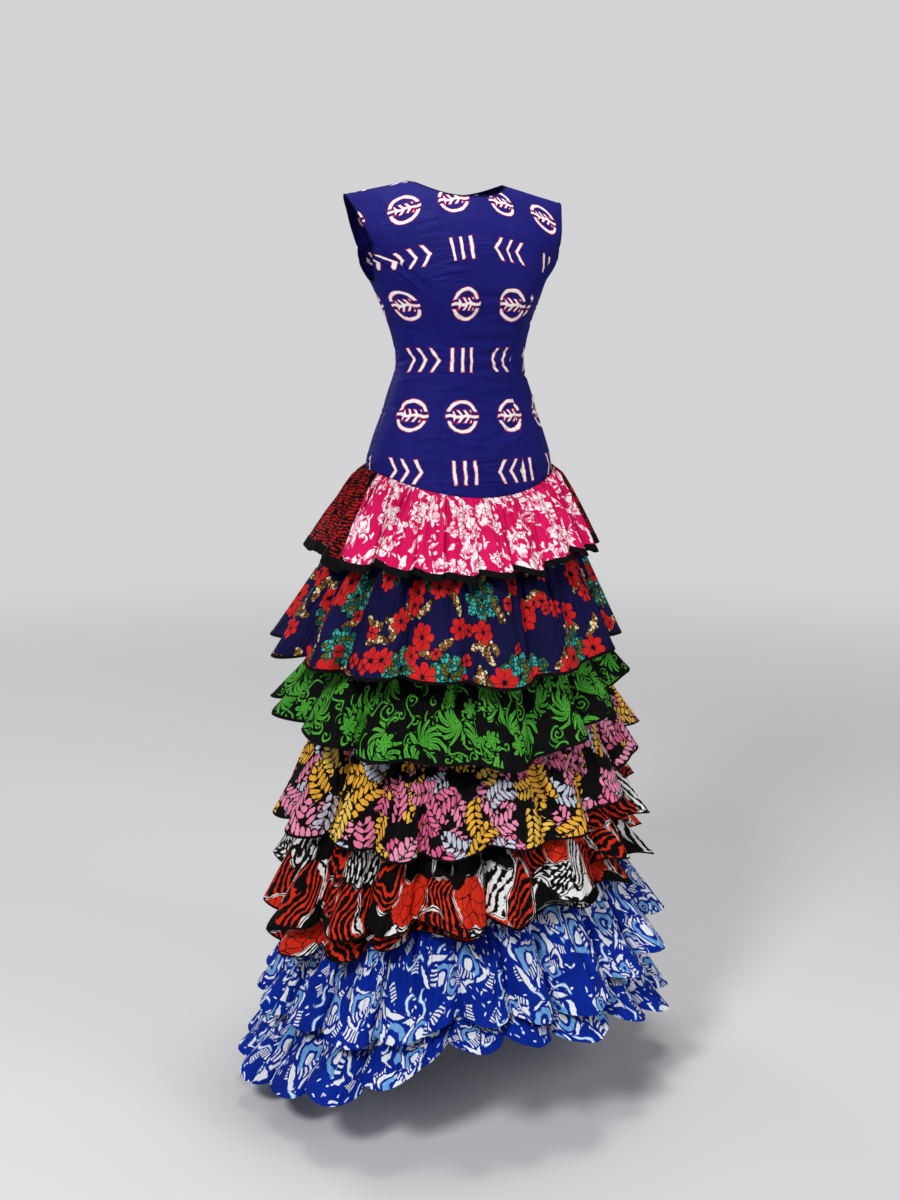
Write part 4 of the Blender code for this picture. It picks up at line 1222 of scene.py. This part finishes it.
def make_flounce(tier, front, side):
    """Half of a flounce with its hem band or binding."""
    flounce, drape = FLOUNCES[tier], DRAPES[tier]
    seam = flounce.seam if front else 180.0 - flounce.seam
    columns = int(flounce.folds * COLUMNS_PER_FOLD * seam / 180.0)
    angles = half_angles(tier, front, columns)[None, :]
    depth = float((gathered_edge_height(tier, angles) - hem_height(tier, angles)).mean())
    slant = float(np.hypot(depth, flounce.half_width - SEWN_HALF_WIDTH))
    band_depth = FRONT_BAND_DEPTH if front else BAND_DEPTH
    end = 1.0 - band_depth / depth if tier == 0 else 1.0
    points, hem, fall = flounce_grid(tier, angles, 0.0, end, FLOUNCE_ROWS)
    width = float(hem[-1])
    across = hem - width / 2 + (0.0 if front else BACK_PRINT_SHIFT) + tier * TIER_PRINT_SHIFT
    name = "flounce_" + flounce.name
    slot = name + "_" + side if tier == 0 else "flounce_" + flounce.name[0]
    piece = make_shell(name + "_" + side + "_cloth", points, print_map(across, fall), slot)
    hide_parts(name + "_" + side)

    if tier == 0:
        band_points, _, band_fall = flounce_grid(tier, angles, end + GAP / depth, 1.0, BAND_ROWS)
        band = make_shell(name + "_band_" + side + "_cloth", band_points,
                          print_map(across, band_fall), "black_binding",
                          proud=BAND_PROUD, thickness=BAND_WALL)
        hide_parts(name + "_band_" + side)
    else:
        hem_cloth = slot if tier >= ROLLED_HEMS_FROM else "black_binding"
        band_points, _, band_fall = flounce_grid(
            tier, angles, 1.0 - drape.binding / slant, 1.0 + BINDING_BELOW / slant, BINDING_ROWS)
        band_map = print_map(across, band_fall + fall[-1] - drape.binding)
        band = make_shell(name + "_" + side + "_binding", band_points, band_map, hem_cloth,
                          proud=BINDING_PROUD, thickness=BINDING_WALL)


def make_foundation():
    for side, middle in (("front", 0.0), ("back", math.pi)):
        angles = middle + np.linspace(-math.pi / 2, math.pi / 2, FOUNDATION_COLUMNS)[None, :]
        shares = np.linspace(0.0, 1.0, FOUNDATION_ROWS)[:, None]
        top = basque_height(angles) - GAP
        bottom = gathered_edge_height(len(FLOUNCES) - 1, angles) - FOUNDATION_HEM_DROP
        height = top + (bottom - top) * shares
        points = sewn_apart(body_point(np.broadcast_to(angles, height.shape), height))
        uv = np.stack([lengths_along(points, 1), -lengths_along(points, 0)], -1)
        name = "foundation_skirt_" + side
        piece = make_shell(name + "_cloth", points, uv, "foundation_cloth")
        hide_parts(name)


# Stage, lights and camera

FLOOR_SIZE = 16.0
FLOOR_FADE = 2.7             # distance from the dress at which half of the floor is faded
FLOOR_COLOUR = (0.70, 0.70, 0.71)

# Name, place, diameter and power of each round lamp
LIGHT_AIM = Vector((0.0, 0.0, -0.7))
LIGHTS = (
    ("key", (-2.4, -2.0, 1.8), 0.9, 98.0),
    ("fill", (2.0, -2.6, 0.8), 1.6, 36.0),
    ("top", (0.2, 0.1, 2.4), 1.2, 48.0),
    ("rear", (-1.2, 2.8, 0.9), 1.6, 26.0),
)


def make_stage():
    """Pale floor that fades out into the backdrop, and the room's even light."""
    mesh = bpy.data.meshes.new("floor")
    half = FLOOR_SIZE / 2
    corners = ((-half, -half), (half, -half), (half, half), (-half, half))
    mesh.from_pydata([(x, y, -SHOULDER_HEIGHT) for x, y in corners], [], [(0, 1, 2, 3)])
    floor = add_object("floor", mesh)
    material, tree, shader = new_material("pale_floor")
    across, up, _ = parts_of(add_node(tree, "TexCoord", {}).outputs["Object"])
    fade = (Place(across, up).distance() - FLOOR_FADE).inside(FLOOR_FADE * 0.95)
    set_inputs(shader, {"Base Color": (*FLOOR_COLOUR, 1.0), "Roughness": 0.7,
                        "Specular IOR Level": 0.2, "Alpha": fade})
    mesh.materials.append(material)

    world = bpy.data.worlds.new("studio")
    world.use_nodes = True
    seen = add_node(world.node_tree, "LightPath", {}).outputs["Is Camera Ray"]
    limits = {"Value": seen, "To Min": AMBIENT, "To Max": 1.0}
    strength = add_node(world.node_tree, "MapRange", limits).outputs[0]
    set_inputs(world.node_tree.nodes["Background"],
               {"Color": (*BACKDROP, 1.0), "Strength": strength})
    bpy.context.scene.world = world
    bpy.context.scene.view_settings.view_transform = "Standard"


def make_lights():
    for name, place, size, power in LIGHTS:
        data = bpy.data.lights.new(name, "AREA")
        data.shape = "DISK"
        data.size = size
        data.energy = power
        lamp = add_object(name, data)
        lamp.location = place
        lamp.rotation_euler = (LIGHT_AIM - Vector(place)).to_track_quat("-Z", "Y").to_euler()


def make_camera():
    data = bpy.data.cameras.new("camera")
    data.sensor_width = SENSOR
    data.lens = FOCAL_LENGTH / IMAGE_HEIGHT * SENSOR
    data.shift_x = SHIFT_ACROSS / IMAGE_HEIGHT
    data.shift_y = SHIFT_UP / IMAGE_HEIGHT
    camera = add_object("camera", data)
    camera.location = (-CAMERA_DISTANCE * math.sin(CAMERA_TURN),
                       -CAMERA_DISTANCE * math.cos(CAMERA_TURN),
                       CAMERA_HEIGHT - SHOULDER_HEIGHT)
    camera.rotation_euler = (math.pi / 2 - CAMERA_PITCH, 0.0, -CAMERA_TURN)
    bpy.context.scene.camera = camera


make_bodice()
make_zip()
make_foundation()
for tier in range(len(FLOUNCES)):
    for front, side in ((True, "front"), (False, "back")):
        make_flounce(tier, front, side)
make_stage()
make_lights()
make_camera()
